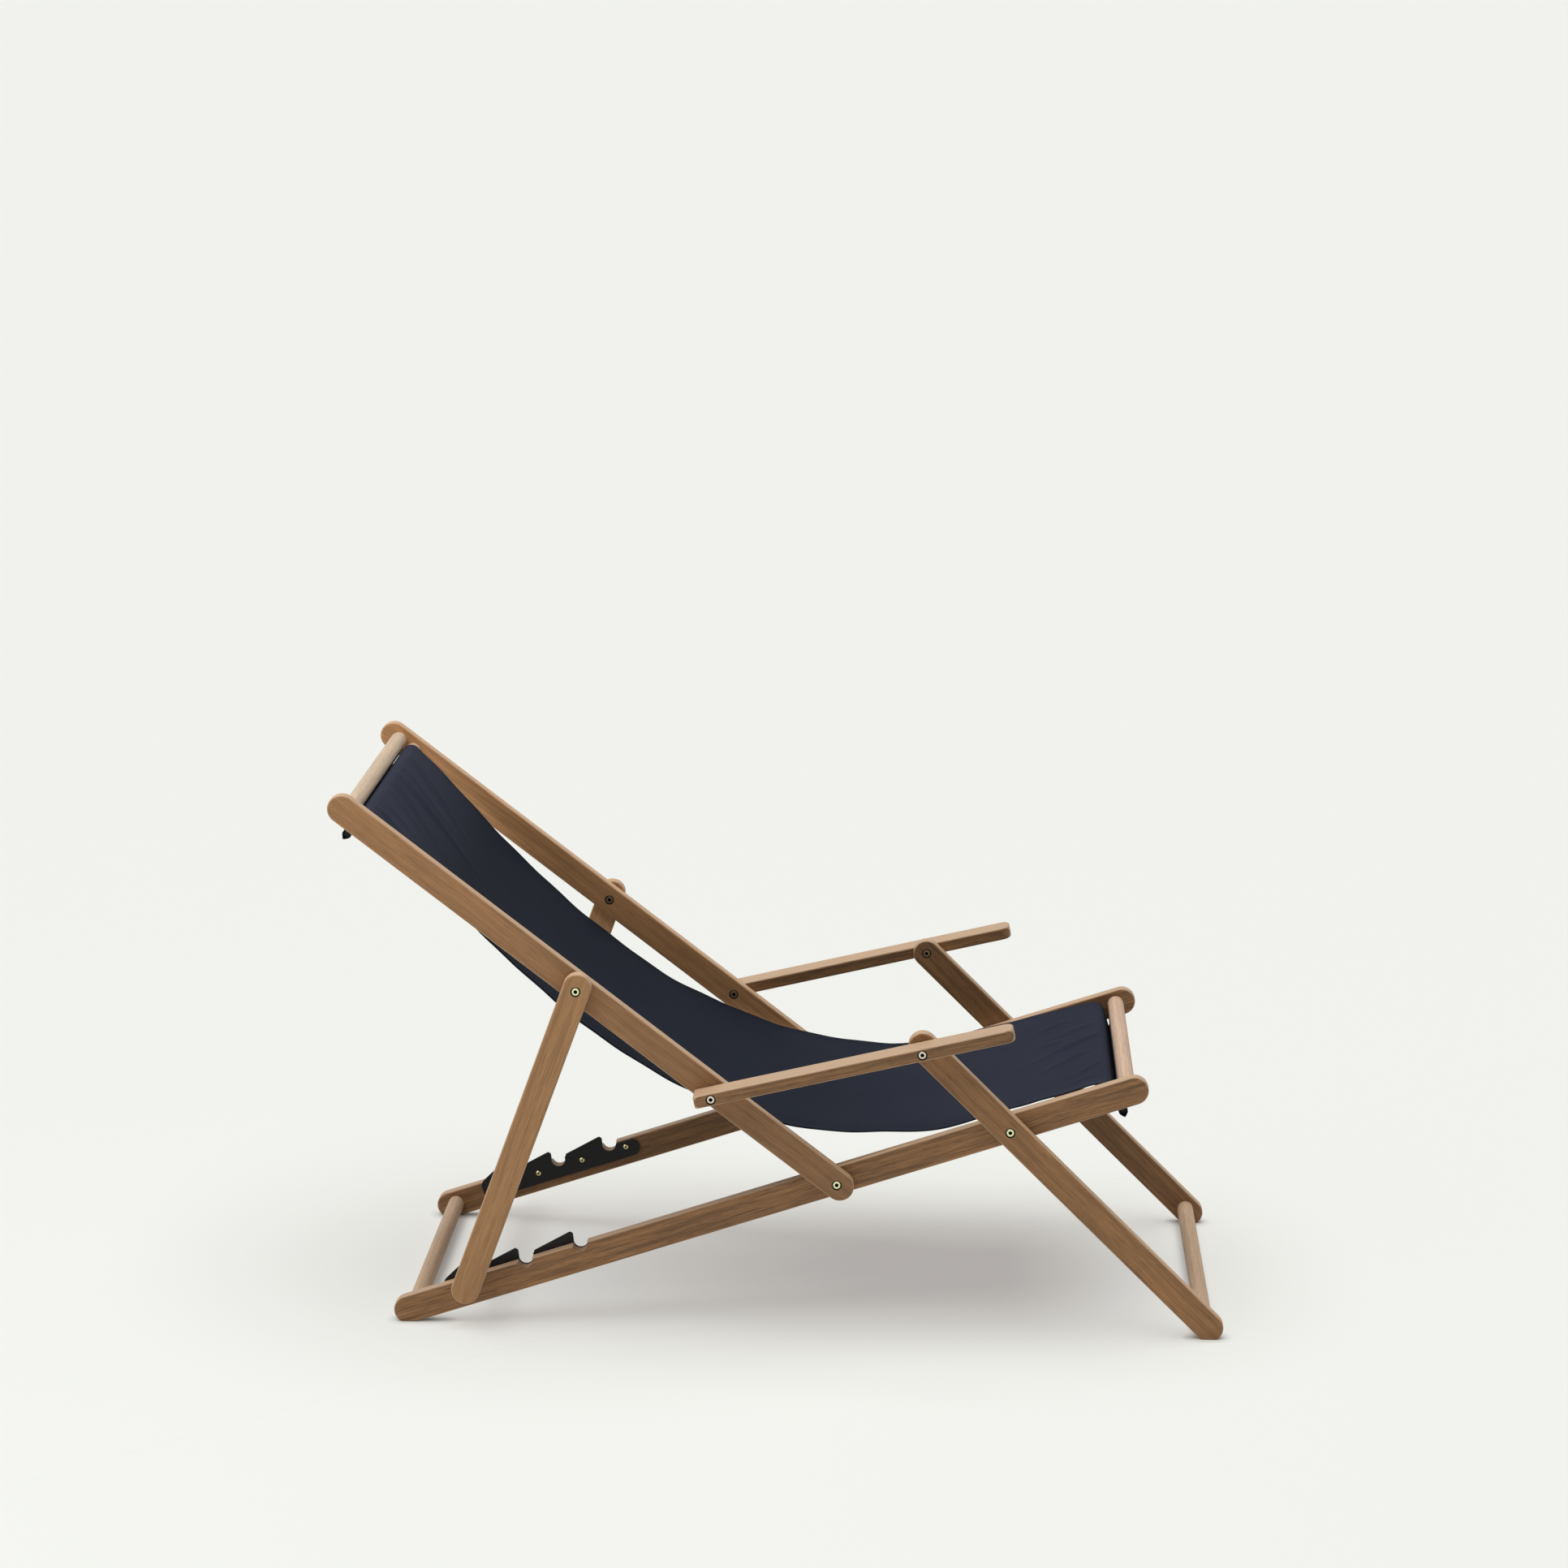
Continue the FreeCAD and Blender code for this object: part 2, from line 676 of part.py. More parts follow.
def spun(name, outline):
    """Turned piece about the lateral axis; the outline is radius against lateral position."""
    body = new_body(name)
    sketch = new_sketch(body, "half_section", "XY_Plane")
    draw_polygon(sketch, outline)
    turned = body.newObject("PartDesign::Revolution", "turned")
    turned.Profile = sketch
    turned.ReferenceAxis = (sketch, ["V_Axis"])
    turned.Angle = 360
    sketch.Visibility = False
    doc.recompute()
    return body


def hex_socket(body, face, flip):
    sketch = new_sketch(body, "hex_sketch", lift=face)
    half = D["hex_flats"] / 2
    corner = D["hex_flats"] / math.sqrt(3)
    draw_polygon(
        sketch,
        [
            (corner, 0),
            (corner / 2, half),
            (-corner / 2, half),
            (-corner, 0),
            (-corner / 2, -half),
            (corner / 2, -half),
        ],
    )
    pocket(body, sketch, "hex_socket", D["hex_depth"], flip)


def pair_node(name, bodies):
    """One node for the pieces on the sitter's right and their mirror pieces on the left."""
    both = doc.addObject("Part::Compound", name)
    both.Label = name
    both.Links = bodies + [mirrored(body.Name + "_mirror", body) for body in bodies]
    nodes[name] = both


def pivot_hardware(stem, pivot, inner, outer, gap_in, sleeve):
    """Hex-socket bolt, sleeve nut and washer through an inner and an outer member."""
    head_r = D["head_dia"] / 2
    sleeve_r = sleeve / 2
    shaft_r = D["shaft_dia"] / 2
    ease = D["head_chamfer"]
    seat = outer - D["recess_depth"]
    top = seat + D["head_thick"]
    tip = seat - D["shaft_length"]
    bolt = spun(
        stem + "_bolt",
        [
            (0, -top),
            (head_r - ease, -top),
            (head_r, ease - top),
            (head_r, -seat),
            (shaft_r, -seat),
            (shaft_r, -tip),
            (0, -tip),
        ],
    )
    hex_socket(bolt, top, False)
    place(bolt, pivot, 0)
    pair_node(stem + "_bolts", [bolt])
    nut_top = inner + D["nut_inset"]
    nut_seat = nut_top + D["head_thick"]
    well = tip - D["well_gap"]
    nut = spun(
        stem + "_nut",
        [
            (0, -nut_top),
            (head_r - ease, -nut_top),
            (head_r, -nut_top - ease),
            (head_r, -nut_seat),
            (sleeve_r, -nut_seat),
            (sleeve_r, -seat),
            (shaft_r, -seat),
            (shaft_r, -well),
            (0, -well),
        ],
    )
    hex_socket(nut, nut_top, True)
    place(nut, pivot, 0)
    pair_node(stem + "_nuts", [nut])
    near = gap_in + D["face_clear"]
    far = gap_in + D["layer_gap"] - D["face_clear"]
    bore_r = sleeve_r + D["run_clear"]
    rim_r = D["washer_dia"] / 2
    washer = spun(stem + "_washer", [(bore_r, -near), (rim_r, -near), (rim_r, -far), (bore_r, -far)])
    place(washer, pivot, 0)
    pair_node(stem + "_washers", [washer])


pivot_hardware("main_pivot", MAIN, D["inner_half"], BACK_OUT, SEAT_OUT, D["sleeve_dia"])
pivot_hardware("leg_pivot", LEG_PIN, D["inner_half"], BACK_OUT, SEAT_OUT, D["sleeve_dia"])
pivot_hardware("prop_pivot", PROP_PIN, BACK_IN, PROP_OUT, BACK_OUT, D["sleeve_dia"])
pivot_hardware("arm_rear_pivot", ARM_PIN, BACK_IN, ARM_OUT, BACK_OUT, D["sleeve_dia"])
pivot_hardware("arm_front_pivot", TOP_PIN, BACK_IN, ARM_OUT, BACK_OUT, D["slim_sleeve_dia"])


def plate_screw(number, spot):
    """Cross-slotted pan-head screw through the plate into the rail."""
    face = D["inner_half"] - D["plate_thick"]
    head_r = D["screw_head_dia"] / 2
    shank_r = D["screw_dia"] / 2
    top = face - D["screw_head_rise"]
    ease = D["screw_head_ease"]
    tip = D["inner_half"] + D["screw_length"]
    screw = spun(
        "plate_screw_%d" % number,
        [
            (0, -top),
            (head_r - ease, -top),
            (head_r, -top - ease),
            (head_r, -face),
            (shank_r, -face),
            (shank_r, D["screw_point"] - tip),
            (0, D["run_clear"] - tip),
        ],
    )
    sketch = new_sketch(screw, "cross_sketch", lift=top)
    arm, web = D["cross_arm"], D["cross_web"]
    draw_polygon(
        sketch,
        [
            (arm, -web), (arm, web), (web, web), (web, arm), (-web, arm), (-web, web),
            (-arm, web), (-arm, -web), (-web, -web), (-web, -arm), (web, -arm), (web, -web),
        ],
    )
    pocket(screw, sketch, "cross_slot", D["cross_depth"], True)
    at = step_from(step_from(MAIN, spot, D["seat_tilt"]), D["screw_rise"], D["seat_tilt"] + 90)
    place(screw, at, 0, D["seat_tilt"])
    return screw


pair_node("notch_plate_screws", [plate_screw(n, spot) for n, spot in enumerate(SCREW_SPOTS, start=1)])

# Sling. It hangs from two bars: at each end it passes over the bar, down between bar and
# dowel, round a rod in its hem, and up again as a short flap. Its section is one chain of
# lines and arcs, each tangent to the next, from the flap at the head to the flap at the seat.
HALF_CLOTH = DRIVING["sling_thick"] / 2
BAR_ROUND = DRIVING["dowel_dia"] / 2 + DRIVING["sling_clear"] + HALF_CLOTH
ROD_ROUND = DRIVING["hem_rod_dia"] / 2 + DRIVING["sling_clear"] + HALF_CLOTH
FOLD_ROUND = DRIVING["fold_round"]
FOLD_ANGLE = DRIVING["fold_angle"]


def trace(start, degrees, moves):
    """Follow moves from a start point: (length, 0) is a line, (radius, turn) an arc, left positive."""
    spot = start
    steps = []
    for size, turn in moves:
        centre = None
        after = spot + along(size, degrees)
        if turn:
            inward = math.copysign(90, turn)
            centre = spot + along(size, degrees + inward)
            after = centre - along(size, degrees + inward + turn)
        steps.append((spot, degrees, centre, size, turn, after))
        spot = after
        degrees += turn
    return steps


def face_of(steps, side):
    """The chain's lines and arcs, moved to the left of the chain by a signed distance."""
    edges = []
    for spot, degrees, centre, size, turn, after in steps:
        if centre is None:
            ends = [point + along(side, degrees + 90) for point in (spot, after)]
            edges.append(Part.LineSegment(*[Vector(end.x, end.z, 0) for end in ends]))
        else:
            outward = math.copysign(90, -turn)
            radius = size - math.copysign(1, turn) * side
            ring = Part.Circle(Vector(centre.x, centre.z, 0), Vector(0, 0, 1), radius)
            angles = sorted((degrees + outward, degrees + outward + turn))
            edges.append(Part.ArcOfCircle(ring, *[math.radians(angle) for angle in angles]))
    return edges


def tangent(beside, below, radius):
    """Length of a line touching a circle, its angle to the line to the centre, and that line's lean."""
    reach = math.hypot(beside, below)
    length = math.sqrt(reach**2 - radius**2)
    touch = math.degrees(math.asin(radius / reach))
    swing = math.degrees(math.atan2(beside, below))
    return length, touch, swing


def flap_step(end):
    """Distance between the strip that leaves the bar and the flap beside it, middle to middle."""
    return DRIVING["sling_thick"] + DRIVING[end + "_flap_gap"]


def hem(end):
    """The flap's lean, the moves from its end round the rod up to the bar, and the strip's lean."""
    drop = DRIVING[end + "_hem_drop"]
    rod_lean = DRIVING[end + "_rod_lean"]
    beside = rod_lean - flap_step(end)
    flap, flap_touch, flap_swing = tangent(beside, drop - DRIVING["flap_top"], ROD_ROUND)
    strip, strip_touch, strip_swing = tangent(BAR_ROUND + rod_lean, drop, BAR_ROUND + ROD_ROUND)
    flap_lean = flap_swing + flap_touch
    strip_lean = strip_touch - strip_swing
    fold_side = ((ROD_ROUND - FOLD_ROUND) / math.tan(math.radians(FOLD_ANGLE)), 0)
    pocket_moves = [
        (ROD_ROUND, FOLD_ANGLE + flap_lean),
        fold_side,
        (FOLD_ROUND, 180 - 2 * FOLD_ANGLE),
        fold_side,
        (ROD_ROUND, FOLD_ANGLE + strip_lean),
    ]
    return flap_lean, [(flap, 0)] + pocket_moves + [(strip, 0)], strip_lean


BACK_IN_LINE = DRIVING["back_rake"] - 180
SEAT_DOWN = DRIVING["seat_tilt"] - 90
HEAD_BAR = along(DRIVING["back_length"] - DRIVING["head_bar_inset"], DRIVING["back_rake"])
SEAT_BAR = along(DRIVING["seat_front"] - DRIVING["seat_bar_inset"], DRIVING["seat_tilt"])
FLAP_SIDE = HEAD_BAR - along(BAR_ROUND + flap_step("head"), BACK_IN_LINE)
FLAP_END = FLAP_SIDE - along(DRIVING["flap_top"], BACK_IN_LINE + 90)
HANGING = [(DRIVING[part + "_round"], DRIVING[part + "_turn"]) for part in ("upper", "middle", "lower")]
SEAT_SLOPE = DRIVING["head_slope"] + sum(turn for radius, turn in HANGING)

# The two straight stretches take up what is left between the bars.
leave = along(1.0, DRIVING["head_slope"])
arrive = along(1.0, SEAT_SLOPE)
bars = SEAT_BAR + along(BAR_ROUND, SEAT_SLOPE + 90) - HEAD_BAR - along(BAR_ROUND, DRIVING["head_slope"] + 90)
left_over = bars - trace(Vector(0, 0, 0), DRIVING["head_slope"], HANGING)[-1][-1]
share = leave.x * arrive.z - leave.z * arrive.x
upper_line = (left_over.x * arrive.z - left_over.z * arrive.x) / share
lower_line = (leave.x * left_over.z - leave.z * left_over.x) / share
head_flap_lean, head_moves, head_strip_lean = hem("head")
seat_flap_lean, seat_moves, seat_strip_lean = hem("seat")
sling_moves = head_moves
sling_moves += [(BAR_ROUND, DRIVING["head_slope"] - BACK_IN_LINE - 90 - head_strip_lean), (upper_line, 0)]
sling_moves += HANGING + [(lower_line, 0), (BAR_ROUND, SEAT_DOWN - seat_strip_lean - SEAT_SLOPE)]
sling_moves += seat_moves[::-1]
sling_steps = trace(FLAP_END, BACK_IN_LINE - 90 - head_flap_lean, sling_moves)

sling = new_body("sling")
sling_sketch = new_sketch(sling, "sling_section")
for side in (HALF_CLOTH, -HALF_CLOTH):
    for edge in face_of(sling_steps, side):
        sling_sketch.addGeometry(edge, False)
for spot, degrees in (
    (sling_steps[0][0], sling_steps[0][1]),
    (sling_steps[-1][-1], sling_steps[-1][1]),
):
    across = along(HALF_CLOTH, degrees + 90)
    ends = [spot + across, spot - across]
    sling_sketch.addGeometry(Part.LineSegment(*[Vector(end.x, end.z, 0) for end in ends]), False)
pad(sling, sling_sketch, "cloth", D["sling_width"])

# Seen from above, the cloth narrows towards both bars: it is gathered at the head, and squeezed
# between the seat rails.
trim_sketch = new_sketch(sling, "side_trim", role="XY_Plane")
for head_side, seat_side, outside in (
    (D["head_half"], D["seat_half"], D["trim_half"]),
    (-D["head_half"], -D["seat_half"], -D["trim_half"]),
):
    gathered = [
        (-D["trim_reach"], head_side),
        (-D["gather_from"], head_side),
        (-D["gather_to"], outside),
        (-D["trim_reach"], outside),
    ]
    squeezed = [
        (-D["squeeze_from"], outside),
        (D["squeeze_to"], seat_side),
        (D["trim_reach"], seat_side),
        (D["trim_reach"], outside),
    ]
    draw_polygon(trim_sketch, gathered)
    draw_polygon(trim_sketch, squeezed)
pocket(sling, trim_sketch, "narrowed_sides")
place(sling, MAIN, 0)
nodes["sling"] = sling
cloth_length = sum(abs(size * math.radians(turn)) if turn else size for size, turn in sling_moves)
print("sling length %.1f" % cloth_length)


def rod_spot(rail_angle, rail_length, end, over):
    """Centre of a hem rod, from the bar that the sling passes over."""
    bar = rail_length - D[end + "_bar_inset"]
    strip = bar + D["dowel_dia"] / 2 + D["sling_clear"] + D["sling_thick"] / 2
    beside = step_from(MAIN, strip + D[end + "_rod_lean"], rail_angle)
    return step_from(beside, D[end + "_hem_drop"], rail_angle + 90 * over)


head_rod = rod_spot(D["back_rake"], D["back_length"], "head", 1)
seat_rod = rod_spot(D["seat_tilt"], D["seat_front"], "seat", -1)
crosspiece("head_hem_rod", head_rod, D["hem_rod_dia"], D["head_rod_half"])
crosspiece("seat_hem_rod", seat_rod, D["hem_rod_dia"], D["seat_rod_half"])

doc.recompute()
for item in doc.Objects:
    if "Invalid" in item.State or "Error" in item.State:
        raise RuntimeError("%s is %s" % (item.Label, item.State))
for name, item in sorted(nodes.items()):
    shape = item.Shape
    if shape.isNull() or not shape.isValid():
        raise RuntimeError("%s has no valid shape" % name)
    shape.exportStep("parts/%s.step" % name)
print("%d nodes written" % len(nodes))
for alias in ("pivot_x", "leg_slope", "arm_slope", "prop_slope", "notch_last"):
    print(alias, round(DRIVING[alias], 4))
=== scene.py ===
# %% [markdown]
# # A folding deck chair
# The wooden frame, its steel plates and its bolts come from the measured model, so nothing
# about their size is decided here. This lesson gives each of them its finish, hangs a woven
# sling between the two bars, and sets up the studio.

# %% Load the measured chair
import math

import bpy
import numpy as np
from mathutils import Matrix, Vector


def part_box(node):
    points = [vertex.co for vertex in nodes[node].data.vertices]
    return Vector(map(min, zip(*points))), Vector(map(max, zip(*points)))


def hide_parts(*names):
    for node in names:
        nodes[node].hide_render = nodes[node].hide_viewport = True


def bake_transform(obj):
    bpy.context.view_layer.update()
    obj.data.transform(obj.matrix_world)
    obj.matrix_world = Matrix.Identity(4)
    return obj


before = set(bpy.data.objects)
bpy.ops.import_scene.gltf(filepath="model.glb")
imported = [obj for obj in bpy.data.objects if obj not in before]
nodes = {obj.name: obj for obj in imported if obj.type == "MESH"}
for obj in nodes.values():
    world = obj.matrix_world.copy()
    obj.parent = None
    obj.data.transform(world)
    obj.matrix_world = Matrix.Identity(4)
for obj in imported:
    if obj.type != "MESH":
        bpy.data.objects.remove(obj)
scene = bpy.context.scene
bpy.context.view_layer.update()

# %% [markdown]
# ## The camera
# The chair was photographed from its side with a long lens, a little from above. A camera can be
# placed by eye, but here its place is known from the straight edges of the frame, so it is
# written down: where it stands, and how far it is turned, tipped down and rolled.

# %% Camera
PHOTO_SIDE = 1932
FOCAL_PIXELS = 5308.0
SENSOR_MM = 36.0
CAMERA_SPOT = np.array((0.24688, -6.10313, 1.95124))
yaw, pitch, roll = np.radians((2.37, 11.28, 0.21))

level_right = np.array((np.cos(yaw), np.sin(yaw), 0.0))
forward = np.array((-np.sin(yaw) * np.cos(pitch), np.cos(yaw) * np.cos(pitch), -np.sin(pitch)))
level_up = np.cross(level_right, forward)
stand = np.eye(4)
stand[:3, 0] = np.cos(roll) * level_right + np.sin(roll) * level_up
stand[:3, 1] = np.cos(roll) * level_up - np.sin(roll) * level_right
stand[:3, 2] = -forward
stand[:3, 3] = CAMERA_SPOT

lens = bpy.data.cameras.new("long_lens")
lens.sensor_width = SENSOR_MM
lens.lens = SENSOR_MM * FOCAL_PIXELS / PHOTO_SIDE
lens.clip_end = 1000.0
camera = bpy.data.objects.new("long_lens", lens)
camera.matrix_world = stand.T.tolist()
scene.collection.objects.link(camera)
scene.camera = camera
print("lens %.1f mm" % lens.lens)

# %% [markdown]
# ## Helpers for node trees
# Every finish below is a small tree of shader nodes. Drawing them by hand takes many clicks, so
# short functions do it: they add a node, do one step of arithmetic, fade a value, mix two colours,
# or start a group. Colours are written in screen values and turned into light.


# %% Node helpers
def add_node(tree, kind, inputs=None, **settings):
    """Add a node. A socket among the inputs is linked, and any other value is set."""
    made = tree.nodes.new(kind)
    for name, value in settings.items():
        setattr(made, name, value)
    for key, value in (inputs or {}).items():
        if isinstance(value, bpy.types.NodeSocket):
            tree.links.new(value, made.inputs[key])
        else:
            made.inputs[key].default_value = value
    return made


def calc(tree, operation, first, second=0.0, third=0.0):
    """One arithmetic step on values, by a Math node."""
    return add_node(tree, "ShaderNodeMath", {0: first, 1: second, 2: third}, operation=operation).outputs[0]


def fade(tree, value, low, high, to_low=0.0, to_high=1.0):
    """A smooth step: to_low below low, to_high above high, an S-curve between them."""
    made = add_node(tree, "ShaderNodeMapRange", {0: value, 1: low, 2: high, 3: to_low, 4: to_high})
    made.interpolation_type = "SMOOTHSTEP"
    return made.outputs[0]


def mix_colours(tree, share, first, second, blend_type="MIX"):
    """The colour that lies between two colours by a share from 0 to 1."""
    made = add_node(tree, "ShaderNodeMix", data_type="RGBA", blend_type=blend_type)
    for index, value in ((0, share), (6, first), (7, second)):
        if isinstance(value, bpy.types.NodeSocket):
            tree.links.new(value, made.inputs[index])
        else:
            made.inputs[index].default_value = value
    return made.outputs[2]


def new_group(name, inputs, outputs):
    """An empty shader node group with named sockets, and its two end nodes."""
    group = bpy.data.node_groups.new(name, "ShaderNodeTree")
    for label, kind in inputs:
        group.interface.new_socket(label, in_out="INPUT", socket_type="NodeSocket" + kind)
    for label, kind in outputs:
        group.interface.new_socket(label, in_out="OUTPUT", socket_type="NodeSocket" + kind)
    return group, group.nodes.new("NodeGroupInput"), group.nodes.new("NodeGroupOutput")


def linear(red, green, blue):
    """A colour written in screen values from 0 to 255, as linear light with alpha 1."""
    screen = np.array((red, green, blue)) / 255
    light = np.where(screen > 0.04045, ((screen + 0.055) / 1.055) ** 2.4, screen / 12.92)
    return (*light.tolist(), 1.0)


def toned(colour, factor):
    """A linear colour made lighter or darker by a factor."""
    return (*(part * factor for part in colour[:3]), 1.0)


print("helpers ready")

# %% [markdown]
# ## The studio
# A pale paper sweep fills the view, and its tone is even up to the edges of the picture. An
# ordinary lit plane would grow darker away from the lamps. So camera rays see the paper partly
# as a plain tone, slightly warm, and partly as it is lit, which keeps the soft shadow under the
# sling. The plain tone is darkened close to the feet, where no light would get in.

# %% Paper and surroundings
PAPER = linear(240, 241, 236)
PAPER_SHADE = linear(238, 232, 228)
PAPER_EVEN = 0.49
CONTACT_REACH = 0.018
SKY_LEVEL = 0.05
BLACK = (0.0, 0.0, 0.0, 1.0)


def seen_rays(tree):
    """1 for rays that show the paper itself: from the camera, off a gloss, or through glass."""
    path = add_node(tree, "ShaderNodeLightPath").outputs
    direct = calc(tree, "MAXIMUM", path["Is Camera Ray"], path["Is Glossy Ray"])
    return calc(tree, "MAXIMUM", direct, path["Is Transmission Ray"])


paper = bpy.data.materials.new("pale_paper")
paper.use_nodes = True
tree = paper.node_tree
tree.nodes.clear()
seen = seen_rays(tree)
lit_tone = [(whole - PAPER_EVEN * shade) / (1 - PAPER_EVEN) for whole, shade in zip(PAPER, PAPER_SHADE)]
lit = add_node(tree, "ShaderNodeBsdfDiffuse", {"Color": mix_colours(tree, seen, PAPER, lit_tone)})
open_sky = add_node(tree, "ShaderNodeAmbientOcclusion", {"Distance": CONTACT_REACH}, samples=8).outputs["AO"]
contact = mix_colours(tree, open_sky, BLACK, PAPER_SHADE)
even = add_node(tree, "ShaderNodeEmission", {"Color": contact, "Strength": 1.0})
share = calc(tree, "MULTIPLY", seen, PAPER_EVEN)
both = add_node(tree, "ShaderNodeMixShader", {0: share, 1: lit.outputs[0], 2: even.outputs[0]})
add_node(tree, "ShaderNodeOutputMaterial", {0: both.outputs[0]})

PAPER_REACH = 400.0
PAPER_DROP = 0.0004
corners = np.array(((-1, -1), (1, -1), (1, 1), (-1, 1))) * PAPER_REACH
sweep = bpy.data.meshes.new("paper_sweep")
sweep.from_pydata([(x, y, -PAPER_DROP) for x, y in corners], [], [(0, 1, 2, 3)])
sweep.materials.append(paper)
floor = bpy.data.objects.new("paper_sweep", sweep)
scene.collection.objects.link(floor)

world = bpy.data.worlds.new("studio")
scene.world = world
world.use_nodes = True
tree = world.node_tree
tree.nodes.clear()
fill = add_node(tree, "ShaderNodeBackground", {"Color": (1.0, 1.0, 1.0, 1.0), "Strength": SKY_LEVEL})
backdrop = add_node(tree, "ShaderNodeBackground", {"Color": PAPER, "Strength": 1.0})
both = add_node(tree, "ShaderNodeMixShader", {0: seen_rays(tree), 1: fill.outputs[0], 2: backdrop.outputs[0]})
add_node(tree, "ShaderNodeOutputWorld", {0: both.outputs[0]})
scene.view_settings.view_transform = "Standard"
print("paper tone", [round(part, 3) for part in PAPER[:3]])

# %% [markdown]
# ## The lamps
# The tops of the wood are pale and the sides that face us are darker, so nearly all light comes
# from a wide soft source overhead, and the paper throws part of it back up. The back is a little
# brighter than the seat, which a weak soft lamp behind the near shoulder gives.


# %% Lamps
def aim(lamp, spot, target):
    """Stand a lamp at a spot and turn its -Z axis to a target."""
    along = np.array(target, float) - np.array(spot, float)
    along /= np.linalg.norm(along)
    side = np.cross(along, (0.0, 0.0, 1.0))
    side /= np.linalg.norm(side)
    turn = np.eye(4)
    turn[:3, 0], turn[:3, 1], turn[:3, 2], turn[:3, 3] = side, np.cross(side, along), -along, spot
    lamp.matrix_world = turn.T.tolist()


OVERHEAD_LEVEL = 0.98 * math.pi
OVERHEAD_SPREAD = 75
OVERHEAD_SPOT = (-0.6, -0.25, 4.0)
NEAR_WATTS, NEAR_SIDE = 3.0, 1.0
NEAR_SPOT, NEAR_TARGET = (-1.5, -1.5, 1.4), (-0.1, 0.0, 0.4)
overhead_light = bpy.data.lights.new("overhead", "SUN")
overhead_light.energy = OVERHEAD_LEVEL
overhead_light.angle = math.radians(OVERHEAD_SPREAD)
overhead = bpy.data.objects.new("overhead", overhead_light)
scene.collection.objects.link(overhead)
aim(overhead, OVERHEAD_SPOT, (0.0, 0.0, 0.0))

near_light = bpy.data.lights.new("near_side", "AREA")
near_light.shape = "RECTANGLE"
near_light.size, near_light.size_y = NEAR_SIDE, NEAR_SIDE
near_light.energy = NEAR_WATTS
near_side = bpy.data.objects.new("near_side", near_light)
near_side.visible_camera = False
scene.collection.objects.link(near_side)
aim(near_side, NEAR_SPOT, NEAR_TARGET)
print("two lamps")

# %% [markdown]
# ## Wood grain
# The strips are oiled hardwood: straight growth lines, fine fibres and short dark pores, all
# running along the strip. A picture of wood could be wrapped round each strip, but the pattern
# would break at the edges. A solid pattern, worked out from the point's own place in the wood,
# runs through faces, edges and end grain as in a real board. It is built once as a group.

# %% Grain group
METRES = 1000.0
grain, taken, given = new_group(
    "wood_grain",
    [("Board", "Vector"), ("Pale", "Color"), ("Deep", "Color"), ("Pore", "Color")],
    [("Colour", "Color"), ("Roughness", "Float"), ("Height", "Float")],
)


def stretched_noise(tree, board, length_mm, width_mm, detail, roughness=0.6):
    """Noise whose marks are length_mm long along the board's X and width_mm across it."""
    rates = (METRES / length_mm, METRES / width_mm, METRES / width_mm)
    place = add_node(tree, "ShaderNodeVectorMath", {0: board, 1: rates}, operation="MULTIPLY").outputs[0]
    return add_node(
        tree, "ShaderNodeTexNoise", {"Vector": place, "Scale": 1.0, "Detail": detail, "Roughness": roughness}
    ).outputs[0]


board = taken.outputs["Board"]
fibre = stretched_noise(grain, board, 48.0, 1.2, 4.0, 0.7)
streak = stretched_noise(grain, board, 130.0, 3.0, 4.0)
cloud = stretched_noise(grain, board, 240.0, 45.0, 2.0)
pores = fade(grain, stretched_noise(grain, board, 24.0, 0.8, 2.0), 0.54, 0.68)

PITH_OFFSET = (0.0, 0.035, 0.14)
RING_RATE = 42.0
pith = add_node(grain, "ShaderNodeVectorMath", {0: board, 1: (0.12, 1.0, 1.0), 2: PITH_OFFSET})
pith.operation = "MULTIPLY_ADD"
ring_inputs = {"Vector": pith.outputs[0], "Scale": RING_RATE, "Distortion": 5.0}
ring_inputs.update({"Detail": 3.0, "Detail Scale": 1.4})
rings = add_node(grain, "ShaderNodeTexWave", ring_inputs, wave_type="RINGS", rings_direction="X").outputs[1]

PALEST, DEEPEST = 1.04, 1.60
PORE_SHARE = 0.6
depth = 0.0
for figure_part, weight in ((fibre, 1.2), (streak, 0.9), (cloud, 0.4), (rings, 0.15)):
    depth = calc(grain, "MULTIPLY_ADD", figure_part, weight, depth)
depth = add_node(grain, "ShaderNodeMapRange", {0: depth, 1: PALEST, 2: DEEPEST}).outputs[0]
body_colour = mix_colours(grain, depth, taken.outputs["Pale"], taken.outputs["Deep"])
pore_share = calc(grain, "MULTIPLY", pores, PORE_SHARE)
grain.links.new(mix_colours(grain, pore_share, body_colour, taken.outputs["Pore"]), given.inputs["Colour"])
grain.links.new(calc(grain, "MULTIPLY_ADD", fibre, 0.25, 0.38), given.inputs["Roughness"])
grain.links.new(calc(grain, "MULTIPLY_ADD", pores, -0.8, fibre), given.inputs["Height"])
print("grain group with", len(grain.nodes), "nodes")
